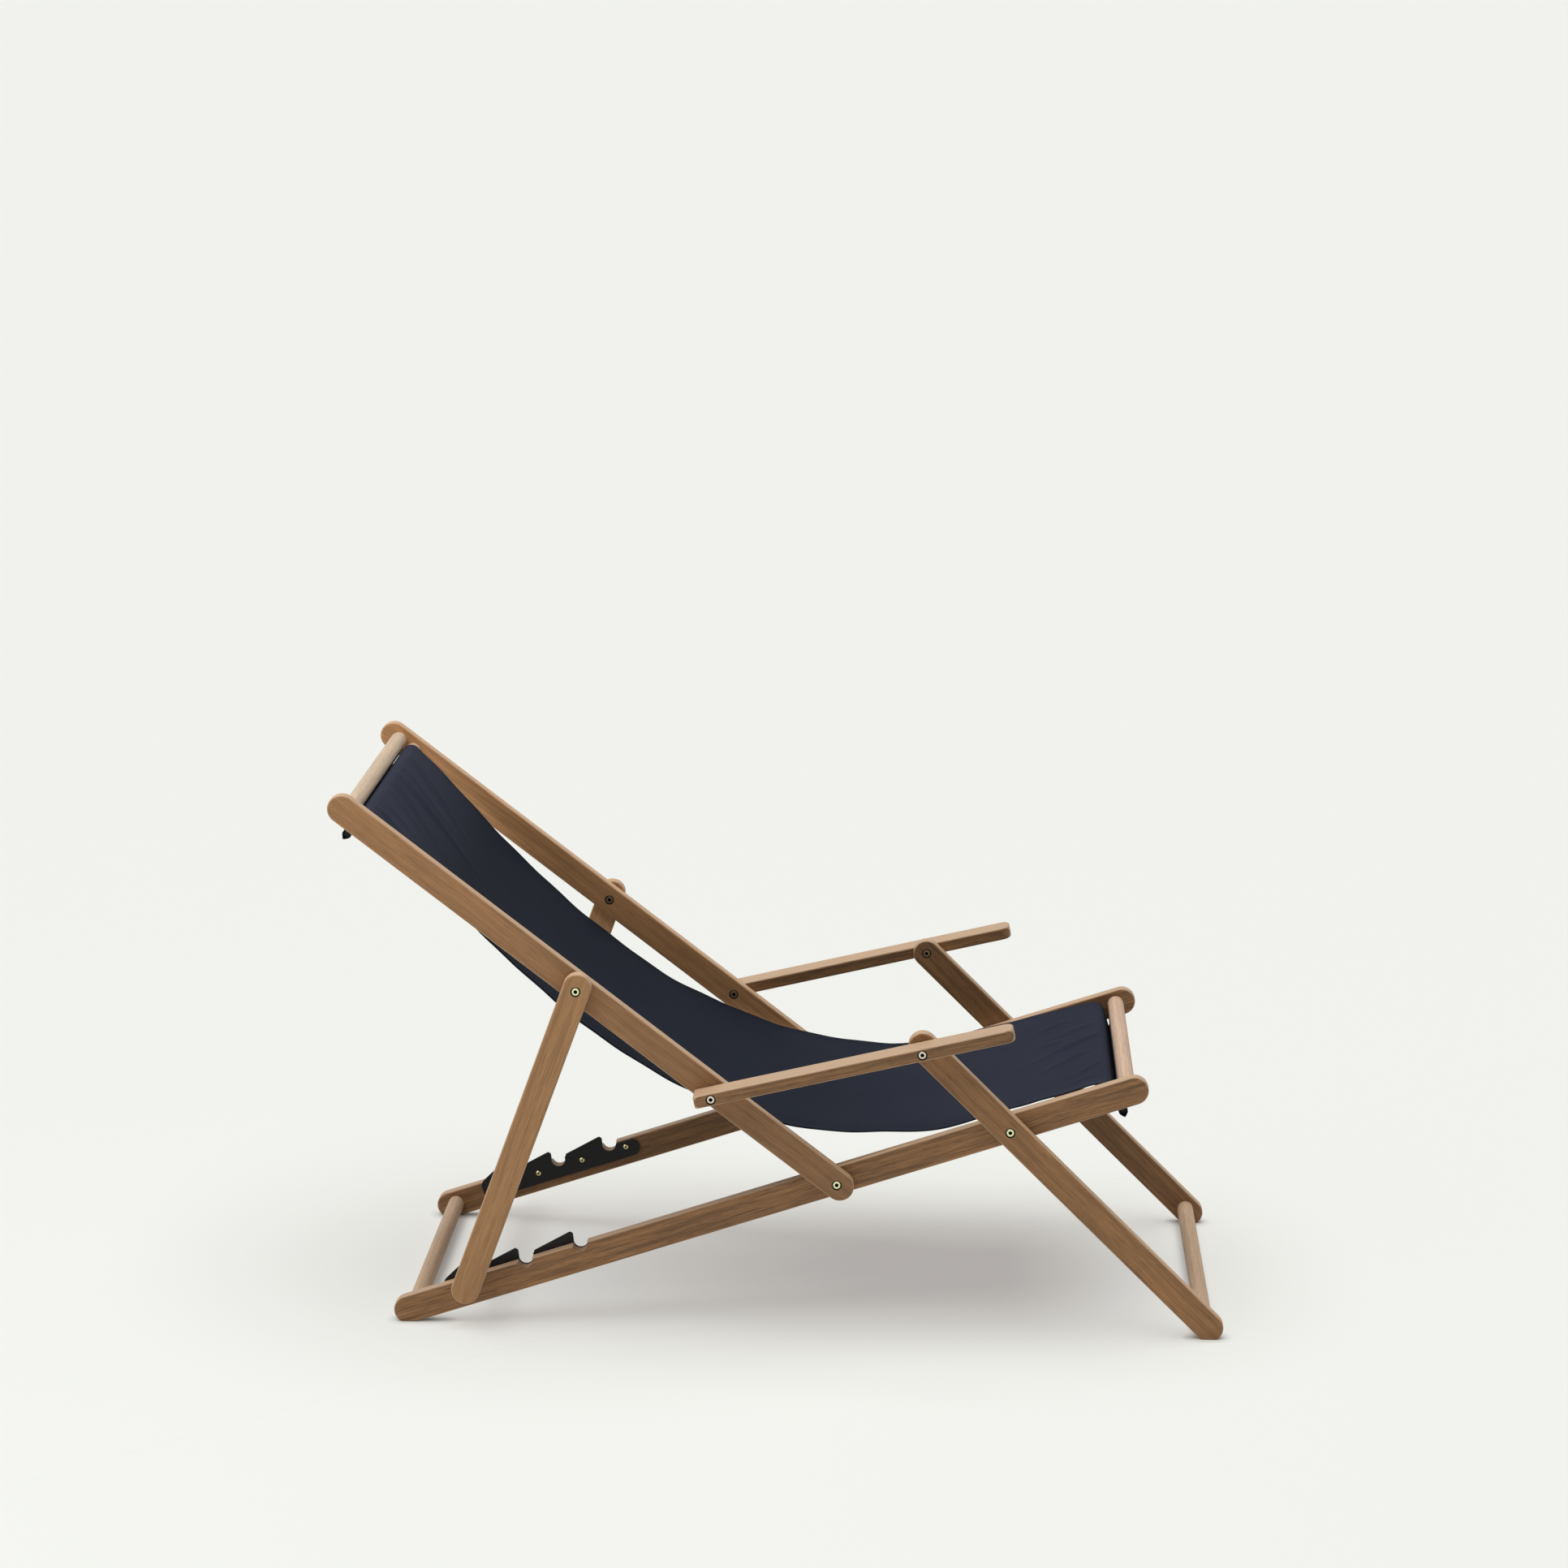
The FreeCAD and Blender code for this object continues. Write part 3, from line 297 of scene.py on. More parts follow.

# %% [markdown]
# ## Worn and highlit edges
# Where a strip's faces meet, the wood is rounded over and handled, so it is paler there; the same
# paleness is a painted highlight, where the rounded edge catches the light. A pointiness mask needs a
# dense mesh. The strips are plain shapes, so the mask can be worked out exactly: how near a point is
# to the rim of the strip's outline, and to its two wide faces. The whole rim is painted paler too: a
# painted highlight, for the narrow top faces that the overhead lamp lights.

# %% Edge group
edges, taken, given = new_group(
    "rubbed_and_highlit_edges",
    [("Board", "Vector"), ("Half length", "Float"), ("Half height", "Float"), ("Layer", "Float"),
     ("Half thickness", "Float")],
    [("Edge", "Float"), ("Rim", "Float")],
)
parts = add_node(edges, "ShaderNodeSeparateXYZ", {0: taken.outputs["Board"]}).outputs
straight = calc(edges, "SUBTRACT", taken.outputs["Half length"], taken.outputs["Half height"])
past_end = calc(edges, "MAXIMUM", calc(edges, "SUBTRACT", calc(edges, "ABSOLUTE", parts[0]), straight), 0.0)
up_squared = calc(edges, "MULTIPLY", parts[2], parts[2])
rim = calc(edges, "SQRT", calc(edges, "MULTIPLY_ADD", past_end, past_end, up_squared))
to_rim = calc(edges, "SUBTRACT", taken.outputs["Half height"], rim)
off_layer = calc(edges, "SUBTRACT", calc(edges, "ABSOLUTE", parts[1]), taken.outputs["Layer"])
to_face = calc(edges, "SUBTRACT", taken.outputs["Half thickness"], calc(edges, "ABSOLUTE", off_layer))
EDGE_PALE_FULLY, EDGE_PALE_TO = 0.0004, 0.0020
# The edge mask is wear and a painted highlight on the rounded edges.
by_rim = fade(edges, to_rim, EDGE_PALE_FULLY, EDGE_PALE_TO, 1.0, 0.0)
by_face = fade(edges, to_face, EDGE_PALE_FULLY, EDGE_PALE_TO, 1.0, 0.0)
rubbed_and_highlit = calc(edges, "MULTIPLY", by_rim, by_face)
worn = stretched_noise(edges, taken.outputs["Board"], 45.0, 9.0, 3.0)
edges.links.new(calc(edges, "MULTIPLY", rubbed_and_highlit, fade(edges, worn, 0.3, 0.6, 0.45, 1.0)), given.inputs["Edge"])
# The rim mask is a painted highlight on the narrow faces round the outline.
edges.links.new(fade(edges, to_rim, 0.0003, 0.0009, 1.0, 0.0), given.inputs["Rim"])
print("edge group with", len(edges.nodes), "nodes")

# %% [markdown]
# ## Slat wood
# Rails, legs, props and armrests are the same oiled wood, cut along different directions. Each
# direction gets its own copy of the finish, turned so that the grain runs along the strip, and
# its own slight tone, because no two boards match. On top of that, colour is painted lighter or darker
# along the strip, and on the left strip of each pair, as painted light and shade for how the light falls.


# %% Parts of a finish
def strip_frame(node, degrees):
    """Middle and half sizes of a strip in its own axes: along it, across the chair, and upwards from it."""
    mesh = nodes[node].data
    spots = np.empty(len(mesh.vertices) * 3, np.float32)
    mesh.vertices.foreach_get("co", spots)
    spots = spots.reshape(-1, 3)
    turn = math.radians(degrees)
    own = np.stack(
        (
            spots[:, 0] * math.cos(turn) + spots[:, 2] * math.sin(turn),
            np.abs(spots[:, 1]),
            spots[:, 2] * math.cos(turn) - spots[:, 0] * math.sin(turn),
        ),
        axis=1,
    )
    low, high = own.min(axis=0), own.max(axis=0)
    return (low + high) / 2, (high - low) / 2


def own_axes(tree, place, middle, degrees):
    """A place seen from a strip's middle, in the strip's own axes."""
    inputs = {"Location": (-middle[0], 0.0, -middle[2]), "Rotation": (0.0, math.radians(degrees), 0.0)}
    return add_node(tree, "ShaderNodeMapping", {"Vector": place, **inputs}).outputs[0]


def new_finish(name, **sockets):
    """A material with a Principled shader whose plain values are set on its own sockets."""
    made = bpy.data.materials.new(name)
    made.use_nodes = True
    made.node_tree.nodes.clear()
    shader = add_node(made.node_tree, "ShaderNodeBsdfPrincipled", sockets)
    add_node(made.node_tree, "ShaderNodeOutputMaterial", {0: shader.outputs[0]})
    return made.node_tree, shader, made


def raise_surface(tree, shader, height, strength, distance):
    """Feed a height, in units of distance metres, to the shader's normal."""
    bump = add_node(tree, "ShaderNodeBump", {"Height": height, "Strength": strength, "Distance": distance})
    tree.links.new(bump.outputs[0], shader.inputs["Normal"])


def dress(finish, *names):
    """Give the named pieces a finish in every material slot."""
    for name in names:
        for holder in nodes[name].material_slots:
            holder.material = finish


def around(tree, place, spot):
    """Distance of a point from an axis that runs across the chair through spot (x, z)."""
    flat_place = add_node(tree, "ShaderNodeVectorMath", {0: place, 1: (1.0, 0.0, 1.0)}, operation="MULTIPLY")
    inputs = {0: flat_place.outputs[0], 1: (spot[0], 0.0, spot[1])}
    return add_node(tree, "ShaderNodeVectorMath", inputs, operation="DISTANCE").outputs["Value"]


BORE_ROUND = 0.0068
PIVOTS = {}
for node in nodes:
    if node.endswith("_bolts"):
        low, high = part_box(node)
        PIVOTS[node.removesuffix("_bolts")] = ((low[0] + high[0]) / 2, (low[2] + high[2]) / 2)
print("pivots", {name: tuple(round(part, 4) for part in spot) for name, spot in PIVOTS.items()})


# %% Slat wood
# Painted highlight: the rim colour lights the narrow faces, and the edge colour is wear and painted highlight
# on the rounded edges.
RIM_HIGHLIGHT, RIM_SHARE = linear(218, 185, 152), 0.55
EDGE_WEAR_AND_HIGHLIGHT, EDGE_SHARE = linear(212, 178, 144), 0.75
# Painted shade: the bore colour stands in for the shade inside the bores round the pivots.
BORE_SHADE = linear(12, 9, 7)


def slat_wood(stem, degrees, tone, figure, shaded_end, left_painted_light, pivots):
    """Oiled wood for a pair of strips that lie along degrees in the side view, with painted shade in the
    bores at its pivots.

    Figure is the strength of the grain. The colour changes along the strip, from its full value to shaded_end
    times it at the end where it starts: painted light and shade, for how the light falls along the strip. The
    left strip's colour is left_painted_light times the right one's: painted light and shade, for how light
    falls on the far side.
    """
    middle, half = strip_frame(stem + "_right", degrees)
    tree, shader, made = new_finish("oiled_" + stem, **{"Specular IOR Level": 0.42})
    place = add_node(tree, "ShaderNodeTexCoord").outputs["Object"]
    board = own_axes(tree, place, middle, degrees)
    pale, deep, pore = (toned(tone, 1 + figure * change) for change in (0.46, -0.34, -0.68))
    inputs = {"Board": board, "Pale": pale, "Deep": deep, "Pore": pore}
    wood = add_node(tree, "ShaderNodeGroup", inputs, node_tree=grain)
    inputs = {"Half length": half[0], "Half height": half[2], "Layer": middle[1], "Half thickness": half[1]}
    rim = add_node(tree, "ShaderNodeGroup", {"Board": board, **inputs}, node_tree=edges)
    parts = add_node(tree, "ShaderNodeSeparateXYZ", {0: board}).outputs
    # Painted light and shade: the colour changes towards the strip's starting end, and the left strip is
    # lighter or darker, for how light falls.
    ends = {1: -half[0], 2: half[0], 3: shaded_end, 4: 1.0}
    painted_shade_along = add_node(tree, "ShaderNodeMapRange", {0: parts[0], **ends})
    side_painted_light = fade(tree, parts[1], -0.01, 0.01, 1.0, left_painted_light)
    level = calc(tree, "MULTIPLY", painted_shade_along.outputs[0], side_painted_light)
    shade = add_node(tree, "ShaderNodeCombineColor", {part: level for part in range(3)})
    colour = mix_colours(tree, 1.0, wood.outputs["Colour"], shade.outputs[0], "MULTIPLY")
    # Painted highlight on the rim, then wear and painted highlight on the edges.
    painted_light = calc(tree, "MULTIPLY", rim.outputs["Rim"], RIM_SHARE)
    colour = mix_colours(tree, painted_light, colour, RIM_HIGHLIGHT)
    worn_and_highlit = calc(tree, "MULTIPLY", rim.outputs["Edge"], EDGE_SHARE)
    colour = mix_colours(tree, worn_and_highlit, colour, EDGE_WEAR_AND_HIGHLIGHT)
    # Painted shade inside the bores round the pivots.
    for pivot in pivots:
        inside = fade(tree, around(tree, place, PIVOTS[pivot]), BORE_ROUND, BORE_ROUND + 0.0006, 1.0, 0.0)
        colour = mix_colours(tree, inside, colour, BORE_SHADE)
    tree.links.new(colour, shader.inputs["Base Color"])
    tree.links.new(wood.outputs["Roughness"], shader.inputs["Roughness"])
    raise_surface(tree, shader, wood.outputs["Height"], 0.35, 0.0004)
    dress(made, stem + "_right", stem + "_left")
    return half


# Columns: side-view angle, tone, figure, colour at the starting end, left strip's colour, pivots. The colour
# at the starting end and the left strip's colour are painted light and shade.
SLATS = {
    "back_rail": (142.5, (165, 121, 80), 0.7, 0.69, 1.42, ("main_pivot", "arm_rear_pivot", "prop_pivot")),
    "seat_rail": (18.2, (135, 97, 61), 1.25, 1.10, 1.0, ("main_pivot", "leg_pivot")),
    "front_leg": (-44.7347, (147, 106, 67), 0.95, 1.0, 0.81, ("leg_pivot", "arm_front_pivot")),
    "prop": (-109.9914, (168, 125, 83), 0.6, 1.0, 1.0, ("prop_pivot",)),
    "armrest": (13.0925, (126, 91, 57), 1.25, 1.0, 1.08, ("arm_rear_pivot", "arm_front_pivot")),
}
for stem, (degrees, tone, figure, shaded_end, left_painted_light, pivots) in SLATS.items():
    half = slat_wood(stem, degrees, linear(*tone), figure, shaded_end, left_painted_light, pivots)
    print(stem, "half sizes", half.round(4))

# %% [markdown]
# ## Dowel wood
# The round crosspieces are a paler wood, sanded and not oiled as dark. The same grain group
# serves them, turned so that the fibres run across the chair.

# %% Dowels
def sanded_wood(name, tone, pieces):
    """Sanded wood for round pieces that lie across the chair."""
    tree, shader, made = new_finish(name, **{"Specular IOR Level": 0.35})
    place = add_node(tree, "ShaderNodeTexCoord").outputs["Object"]
    inputs = {"Vector": place, "Rotation": (0.0, 0.0, math.radians(-90))}
    board = add_node(tree, "ShaderNodeMapping", inputs).outputs[0]
    inputs = {"Board": board, "Pale": toned(tone, 1.16), "Deep": toned(tone, 0.84), "Pore": toned(tone, 0.72)}
    wood = add_node(tree, "ShaderNodeGroup", inputs, node_tree=grain)
    tree.links.new(wood.outputs["Colour"], shader.inputs["Base Color"])
    tree.links.new(calc(tree, "ADD", wood.outputs["Roughness"], 0.12), shader.inputs["Roughness"])
    raise_surface(tree, shader, wood.outputs["Height"], 0.25, 0.0003)
    dress(made, *pieces)


ROUND_PIECES = [name for name in nodes if name.endswith(("_dowel", "_bar", "_crossbar"))]
sanded_wood("sanded_dowel", linear(196, 165, 136), ROUND_PIECES)
# The head and front dowels are painted paler than the others: painted light, where they lie open to the
# overhead lamp.
sanded_wood("sanded_head_dowel_painted_light", linear(206, 182, 156), ["head_dowel"])
sanded_wood("sanded_front_dowel_painted_light", linear(201, 170, 145), ["seat_front_dowel"])
print("round pieces", ROUND_PIECES)

# %% [markdown]
# ## Plating and paint
# The bolts are plated with pale yellow zinc, the sleeve nuts inside are dark, the plates are
# painted black and their screws are brass-coloured. Small metal parts are never even: plating is
# cloudy and handling leaves fine scratches. The key's socket is painted black: painted shade, for the
# deep socket.

# %% Plating group
plating, taken, given = new_group(
    "cloudy_plating",
    [("Place", "Vector"), ("Colour", "Color"), ("Stain", "Color"), ("Smooth", "Float"), ("Dull", "Float")],
    [("Colour", "Color"), ("Roughness", "Float"), ("Height", "Float")],
)
patch = add_node(
    plating, "ShaderNodeTexNoise", {"Vector": taken.outputs["Place"], "Scale": 420.0, "Detail": 4.0}
).outputs[0]
scuff = add_node(
    plating, "ShaderNodeTexNoise",
    {"Vector": taken.outputs["Place"], "Scale": 1500.0, "Detail": 3.0, "Distortion": 1.5},
).outputs[0]
stained = fade(plating, patch, 0.42, 0.68, 0.0, 0.6)
plating.links.new(
    mix_colours(plating, stained, taken.outputs["Colour"], taken.outputs["Stain"]), given.inputs["Colour"]
)
gloss_range = {3: taken.outputs["Smooth"], 4: taken.outputs["Dull"]}
dullness = add_node(plating, "ShaderNodeMapRange", {0: scuff, 1: 0.3, 2: 0.7, **gloss_range}).outputs[0]
plating.links.new(dullness, given.inputs["Roughness"])
plating.links.new(scuff, given.inputs["Height"])


def plated(name, colour, stain, smooth, dull, metallic, gloss=0.5):
    """A metal or painted finish with cloudy colour and uneven gloss. Returns what a caller may add to."""
    tree, shader, made = new_finish(name, **{"Metallic": metallic, "Specular IOR Level": gloss})
    place = add_node(tree, "ShaderNodeTexCoord").outputs["Object"]
    inputs = {"Colour": linear(*colour), "Stain": linear(*stain), "Smooth": smooth, "Dull": dull}
    coat = add_node(tree, "ShaderNodeGroup", {"Place": place, **inputs}, node_tree=plating)
    tree.links.new(coat.outputs["Colour"], shader.inputs["Base Color"])
    tree.links.new(coat.outputs["Roughness"], shader.inputs["Roughness"])
    raise_surface(tree, shader, coat.outputs["Height"], 0.3, 0.0001)
    return tree, shader, made, place, coat


print("plating group with", len(plating.nodes), "nodes")

# %% [markdown]
# ## Bolts and nuts
# A bolt's head is a bright ring round a black hexagon. The hexagon is a real socket in the model,
# and a mask round the bolt's own axis paints its inside black: painted shade, as in a deep socket.

# %% Bolts, nuts, screws, plates and washers
SOCKET_ROUND = 0.0030


def socketed(node, colour, stain, smooth, dull, metallic):
    """Plating for a pair of bolts or nuts, with painted shade inside the key's socket."""
    tree, shader, made, place, coat = plated(node, colour, stain, smooth, dull, metallic)
    radius = around(tree, place, PIVOTS[node.rpartition("_")[0]])
    # Painted shade: the inside of the socket is painted black.
    socket_shade = fade(tree, radius, SOCKET_ROUND - 0.0005, SOCKET_ROUND, 1.0, 0.0)
    colour = mix_colours(tree, socket_shade, coat.outputs["Colour"], linear(9, 9, 9))
    tree.links.new(colour, shader.inputs["Base Color"])
    dress(made, node)


for node in nodes:
    if node.startswith("arm_") and node.endswith("_bolts"):
        socketed(node, (228, 216, 202), (206, 190, 172), 0.30, 0.48, 1.0)
    elif node.endswith("_bolts"):
        socketed(node, (238, 241, 194), (208, 212, 154), 0.30, 0.48, 1.0)
    elif node.endswith("_nuts"):
        socketed(node, (150, 125, 98), (112, 92, 72), 0.35, 0.55, 0.8)
    elif node.endswith(("_washers", "_rod")):
        dress(plated(node, (20, 20, 21), (28, 27, 28), 0.5, 0.65, 0.0, 0.3)[2], node)
dress(
    plated("black_plate", (14, 13, 14), (22, 21, 22), 0.42, 0.6, 0.0, 0.3)[2],
    "notch_plate_right", "notch_plate_left",
)
print("bolts, nuts, washers, rods and plates dressed")

# %% [markdown]
# The plates' screws are brass-coloured, and their cross slots are painted dark: painted shade in the
# sunk slots. The slots are sunk below the heads and near the screws' axes, which stand in an even row
# along the rail, so a mask by depth and by distance from the nearest axis finds them. A small disc
# round each axis is painted dark as well, as shade at the bottom of the cross.

# %% Screws
SEAT_TILT = 18.2
HEAD_DIA, HEAD_FACE, CROSS_ROUND, PIT_ROUND = 0.0076, 0.2408, 0.0024, 0.0017
ROW_COUNT = 4
middle, half = strip_frame("notch_plate_screws", SEAT_TILT)
pitch = (2 * half[0] - HEAD_DIA) / (ROW_COUNT - 1)
print("screws stand %.1f mm apart" % (1000 * pitch))
tree, shader, yellow, place, coat = plated("yellow_screws", (240, 230, 180), (214, 198, 138), 0.28, 0.45, 1.0)
row_parts = add_node(tree, "ShaderNodeSeparateXYZ", {0: own_axes(tree, place, middle, SEAT_TILT)}).outputs
in_pitch = calc(tree, "SUBTRACT", calc(tree, "FRACT", calc(tree, "DIVIDE", row_parts[0], pitch)), 0.5)
beside = calc(tree, "MULTIPLY", in_pitch, pitch)
squares = calc(tree, "MULTIPLY_ADD", beside, beside, calc(tree, "MULTIPLY", row_parts[2], row_parts[2]))
off_axis = calc(tree, "SQRT", squares)
central = fade(tree, off_axis, CROSS_ROUND - 0.0003, CROSS_ROUND, 1.0, 0.0)
depth = fade(tree, calc(tree, "ABSOLUTE", row_parts[1]), HEAD_FACE + 0.0001, HEAD_FACE + 0.0004)
pit = fade(tree, off_axis, PIT_ROUND - 0.0004, PIT_ROUND, 1.0, 0.0)
sunk = calc(tree, "MAXIMUM", calc(tree, "MULTIPLY", central, depth), pit)
# Painted shade in the cross slots and in the pit at their middle.
shaded_slots = mix_colours(tree, sunk, coat.outputs["Colour"], linear(16, 14, 10))
tree.links.new(shaded_slots, shader.inputs["Base Color"])
dress(yellow, "notch_plate_screws")

# %% [markdown]
# ## The sling's line
# Seen from the side, the sling is one long line: a flap runs down beside the dowel, round a rod
# and a pressed fold, up between bar and dowel, over the bar, down in a slack curve, and the same
# again at the seat. It could be drawn by hand with a curve. Cloth bends evenly, so it is simpler
# to say how far it turns along each stretch and add up small steps in the direction it heads.

# %% Sling line
MM = 0.001
PIVOT = np.array((0.0822679, 0.217))
BACK_ANGLE, SEAT_ANGLE = 142.5, 18.2
HEAD_BAR_AT, SEAT_BAR_AT = 832.7 * MM, 394 * MM
BAR_ROUND, ROD_ROUND, FOLD_ROUND = 12.9 * MM, 5.9 * MM, 1.2 * MM
HEAD_FLAP_STEP, SEAT_FLAP_STEP = 1.6 * MM, 6.7 * MM
FLAP_TOP, FOLD_ANGLE = 3.0 * MM, 42.0
HEAD_DROP, SEAT_DROP = 33.5 * MM, 28.5 * MM
HEAD_ROD_LEAN, SEAT_ROD_LEAN = -3.1 * MM, 5.6 * MM
HEAD_SLOPE = -46.7
HANGING = [(960 * MM, 12.4), (840 * MM, 15.7), (460 * MM, 33.4)]


def heading(degrees):
    """The unit step in the side view at an angle from the X axis."""
    return np.array((math.cos(math.radians(degrees)), math.sin(math.radians(degrees))))


def reach(moves, degrees):
    """Where a chain of lines (length, 0) and arcs (radius, turn) ends, from the origin."""
    spot = np.zeros(2)
    for size, turn in moves:
        chord = 2 * size * math.sin(math.radians(abs(turn)) / 2) if turn else size
        spot = spot + chord * heading(degrees + turn / 2)
        degrees += turn
    return spot


def tangent(beside, below, radius):
    """Length of a line touching a circle, its angle to the line to the centre, and that line's lean."""
    away = math.hypot(beside, below)
    touch = math.degrees(math.asin(radius / away))
    return math.sqrt(away**2 - radius**2), touch, math.degrees(math.atan2(beside, below))


def hem(drop, rod_lean, flap_step):
    """The flap's lean, the moves from the flap round rod and fold to the bar, and the strip's lean."""
    flap, flap_touch, flap_swing = tangent(rod_lean - flap_step, drop - FLAP_TOP, ROD_ROUND)
    strip, strip_touch, strip_swing = tangent(BAR_ROUND + rod_lean, drop, BAR_ROUND + ROD_ROUND)
    flap_lean, strip_lean = flap_swing + flap_touch, strip_touch - strip_swing
    side = ((ROD_ROUND - FOLD_ROUND) / math.tan(math.radians(FOLD_ANGLE)), 0)
    down, up = (ROD_ROUND, FOLD_ANGLE + flap_lean), (ROD_ROUND, FOLD_ANGLE + strip_lean)
    pressed = [down, side, (FOLD_ROUND, 180 - 2 * FOLD_ANGLE), side, up]
    return flap_lean, [(flap, 0), *pressed, (strip, 0)], strip_lean


head_bar = PIVOT + HEAD_BAR_AT * heading(BACK_ANGLE)
seat_bar = PIVOT + SEAT_BAR_AT * heading(SEAT_ANGLE)
in_line = BACK_ANGLE - 180
seat_slope = HEAD_SLOPE + sum(turn for size, turn in HANGING)
gap = seat_bar + BAR_ROUND * heading(seat_slope + 90) - head_bar - BAR_ROUND * heading(HEAD_SLOPE + 90)
rest = gap - reach(HANGING, HEAD_SLOPE)
upper_run, lower_run = np.linalg.solve(np.stack((heading(HEAD_SLOPE), heading(seat_slope)), axis=1), rest)
flap_lean, head_hem, head_strip_lean = hem(HEAD_DROP, HEAD_ROD_LEAN, HEAD_FLAP_STEP)
_, seat_hem, seat_strip_lean = hem(SEAT_DROP, SEAT_ROD_LEAN, SEAT_FLAP_STEP)
head_turn = HEAD_SLOPE - in_line - 90 - head_strip_lean
seat_turn = SEAT_ANGLE - 90 - seat_strip_lean - seat_slope
moves = head_hem + [(BAR_ROUND, head_turn), (upper_run, 0)] + HANGING
moves += [(lower_run, 0), (BAR_ROUND, seat_turn)] + seat_hem[::-1]
flap_end = head_bar - (BAR_ROUND + HEAD_FLAP_STEP) * heading(in_line) - FLAP_TOP * heading(in_line + 90)

stretches = np.array([math.radians(abs(turn)) * size if turn else size for size, turn in moves])
knots = np.concatenate(((0.0,), np.cumsum(stretches)))
turned = in_line - 90 - flap_lean + np.concatenate(((0.0,), np.cumsum([turn for size, turn in moves])))
CLOTH_LENGTH = knots[-1]
STEP = 0.1 * MM
fine = np.linspace(0.0, CLOTH_LENGTH, round(CLOTH_LENGTH / STEP) + 1)
middles = np.radians(np.interp((fine[1:] + fine[:-1]) / 2, knots, turned))
steps = np.diff(fine)[:, None] * np.stack((np.cos(middles), np.sin(middles)), axis=1)
line = flap_end + np.concatenate((np.zeros((1, 2)), np.cumsum(steps, axis=0)))
print("cloth length %.4f m, lowest point %.3f m" % (CLOTH_LENGTH, line[:, 1].min()))

# %% [markdown]
# ## The sling's surface
# The line is carried across the width of the chair. The cloth is wider than its bars allow: it is
# gathered at the head, hangs at its full width, and is squeezed between the seat rails, where its
# near edge rides up. Where the bars grip it, soft slanting creases start. All of it is worked out from
# formulas, because a simulated cloth would settle in a shape of its own.

# %% Rows, columns and widths
CLOTH_WIDTH = 524 * MM
CLOTH_THICK = 1.2 * MM
EDGE_BAND = 16 * MM
HEM_MOVES = len(head_hem)
head_leave, seat_arrive = knots[HEM_MOVES + 1], knots[-HEM_MOVES - 2]
HEM_ROW, HANGING_ROW = 1.2 * MM, 5.0 * MM
EDGE_COLUMNS, MIDDLE_COLUMNS = 9, 87


def spaced(low, high, gap):
    """Places from low up to, but not at, high, about a gap apart."""
    return np.linspace(low, high, round((high - low) / gap), endpoint=False)


rows = np.concatenate(
    (
        spaced(0.0, head_leave, HEM_ROW),
        spaced(head_leave, seat_arrive, HANGING_ROW),
        spaced(seat_arrive, CLOTH_LENGTH, HEM_ROW),
    )
)
rows = np.union1d(rows.round(6), knots.round(6))
edge_columns = np.linspace(0, EDGE_BAND, EDGE_COLUMNS)
across = np.union1d(
    np.linspace(EDGE_BAND, CLOTH_WIDTH - EDGE_BAND, MIDDLE_COLUMNS).round(6),
    np.concatenate((edge_columns, CLOTH_WIDTH - edge_columns)).round(6),
)
ACROSS, ALONG = np.meshgrid(across, rows)
HUNG = ALONG - head_leave

WIDTH_AT = (0.105, 0.205, 0.285, 0.725, 0.805, 0.875, 0.925)
HALF_WIDTH = (247, 256, 262, 262, 253, 246, 244.6)
half_width = np.interp(rows - head_leave, WIDTH_AT, HALF_WIDTH) * MM
print("grid", ACROSS.shape, "half width %.3f to %.3f m" % (half_width.min(), half_width.max()))

# %% [markdown]
# The creases are few and uneven. At the head they start at the bar and slant towards the near
# side, and at the seat they run the other way into the bar.


# %% Creases
def creases(marks):
    """Sum of long soft ridges. Each is a bell curve across its own line, and fades in and out along it.

    A mark is (start across, start along, drift across per metre, length, width, height), in metres. A
    negative length runs back towards the head.
    """
    u, v, drift, length, width, height = (part[:, None, None] for part in np.array(marks).T)
    run = (ALONG[None] - v) / length
    inside = np.clip(run, 0.0, 1.0)
    window = np.sin(np.pi * np.sqrt(inside)) ** 2
    off = ACROSS[None] - u - drift * (ALONG[None] - v)
    return (height * window * np.exp(-((off / width) ** 2))).sum(axis=0)


HEAD_CREASES = [
    (0.303, head_leave - 0.010, -0.42, 0.24, 0.0085, 0.0052),
    (0.446, head_leave - 0.006, -0.80, 0.18, 0.0090, 0.0042),
    (0.251, head_leave - 0.008, -0.86, 0.15, 0.0080, 0.0044),
    (0.360, head_leave - 0.002, -0.55, 0.16, 0.0085, 0.0030),
    (0.190, head_leave - 0.004, -0.62, 0.13, 0.0080, 0.0028),
    (0.046, head_leave - 0.006, 0.07, 0.09, 0.0080, 0.0030),
    (0.110, head_leave + 0.002, -0.25, 0.11, 0.0090, 0.0020),
]
SEAT_CREASES = [
    (0.324, seat_arrive + 0.006, 0.86, -0.14, 0.0085, 0.0046),
    (0.445, seat_arrive - 0.040, 0.74, -0.08, 0.0080, 0.0022),
    (0.331, seat_arrive - 0.045, 0.38, -0.08, 0.0080, 0.0019),
    (0.237, seat_arrive - 0.010, 0.95, -0.11, 0.0090, 0.0032),
    (0.154, seat_arrive + 0.004, 1.15, -0.07, 0.0085, 0.0026),
    (0.395, seat_arrive + 0.002, 0.60, -0.10, 0.0100, 0.0022),
    (0.090, seat_arrive + 0.000, 0.70, -0.09, 0.0100, 0.0016),
]
height = creases(HEAD_CREASES) + creases(SEAT_CREASES)
print("creases up to %.1f mm" % (1000 * height.max()))

# %% [markdown]
# The slack cloth hangs in shallow waves along its length, and its edges wander a little, because
# nothing holds them. They are turned in and stitched, which makes them thicker and draws a shallow
# groove along the seam. Every wave is a bell curve or a sine, so its place and height can be
# read off. The sheet is closed: an upper and a lower face, and a rim.


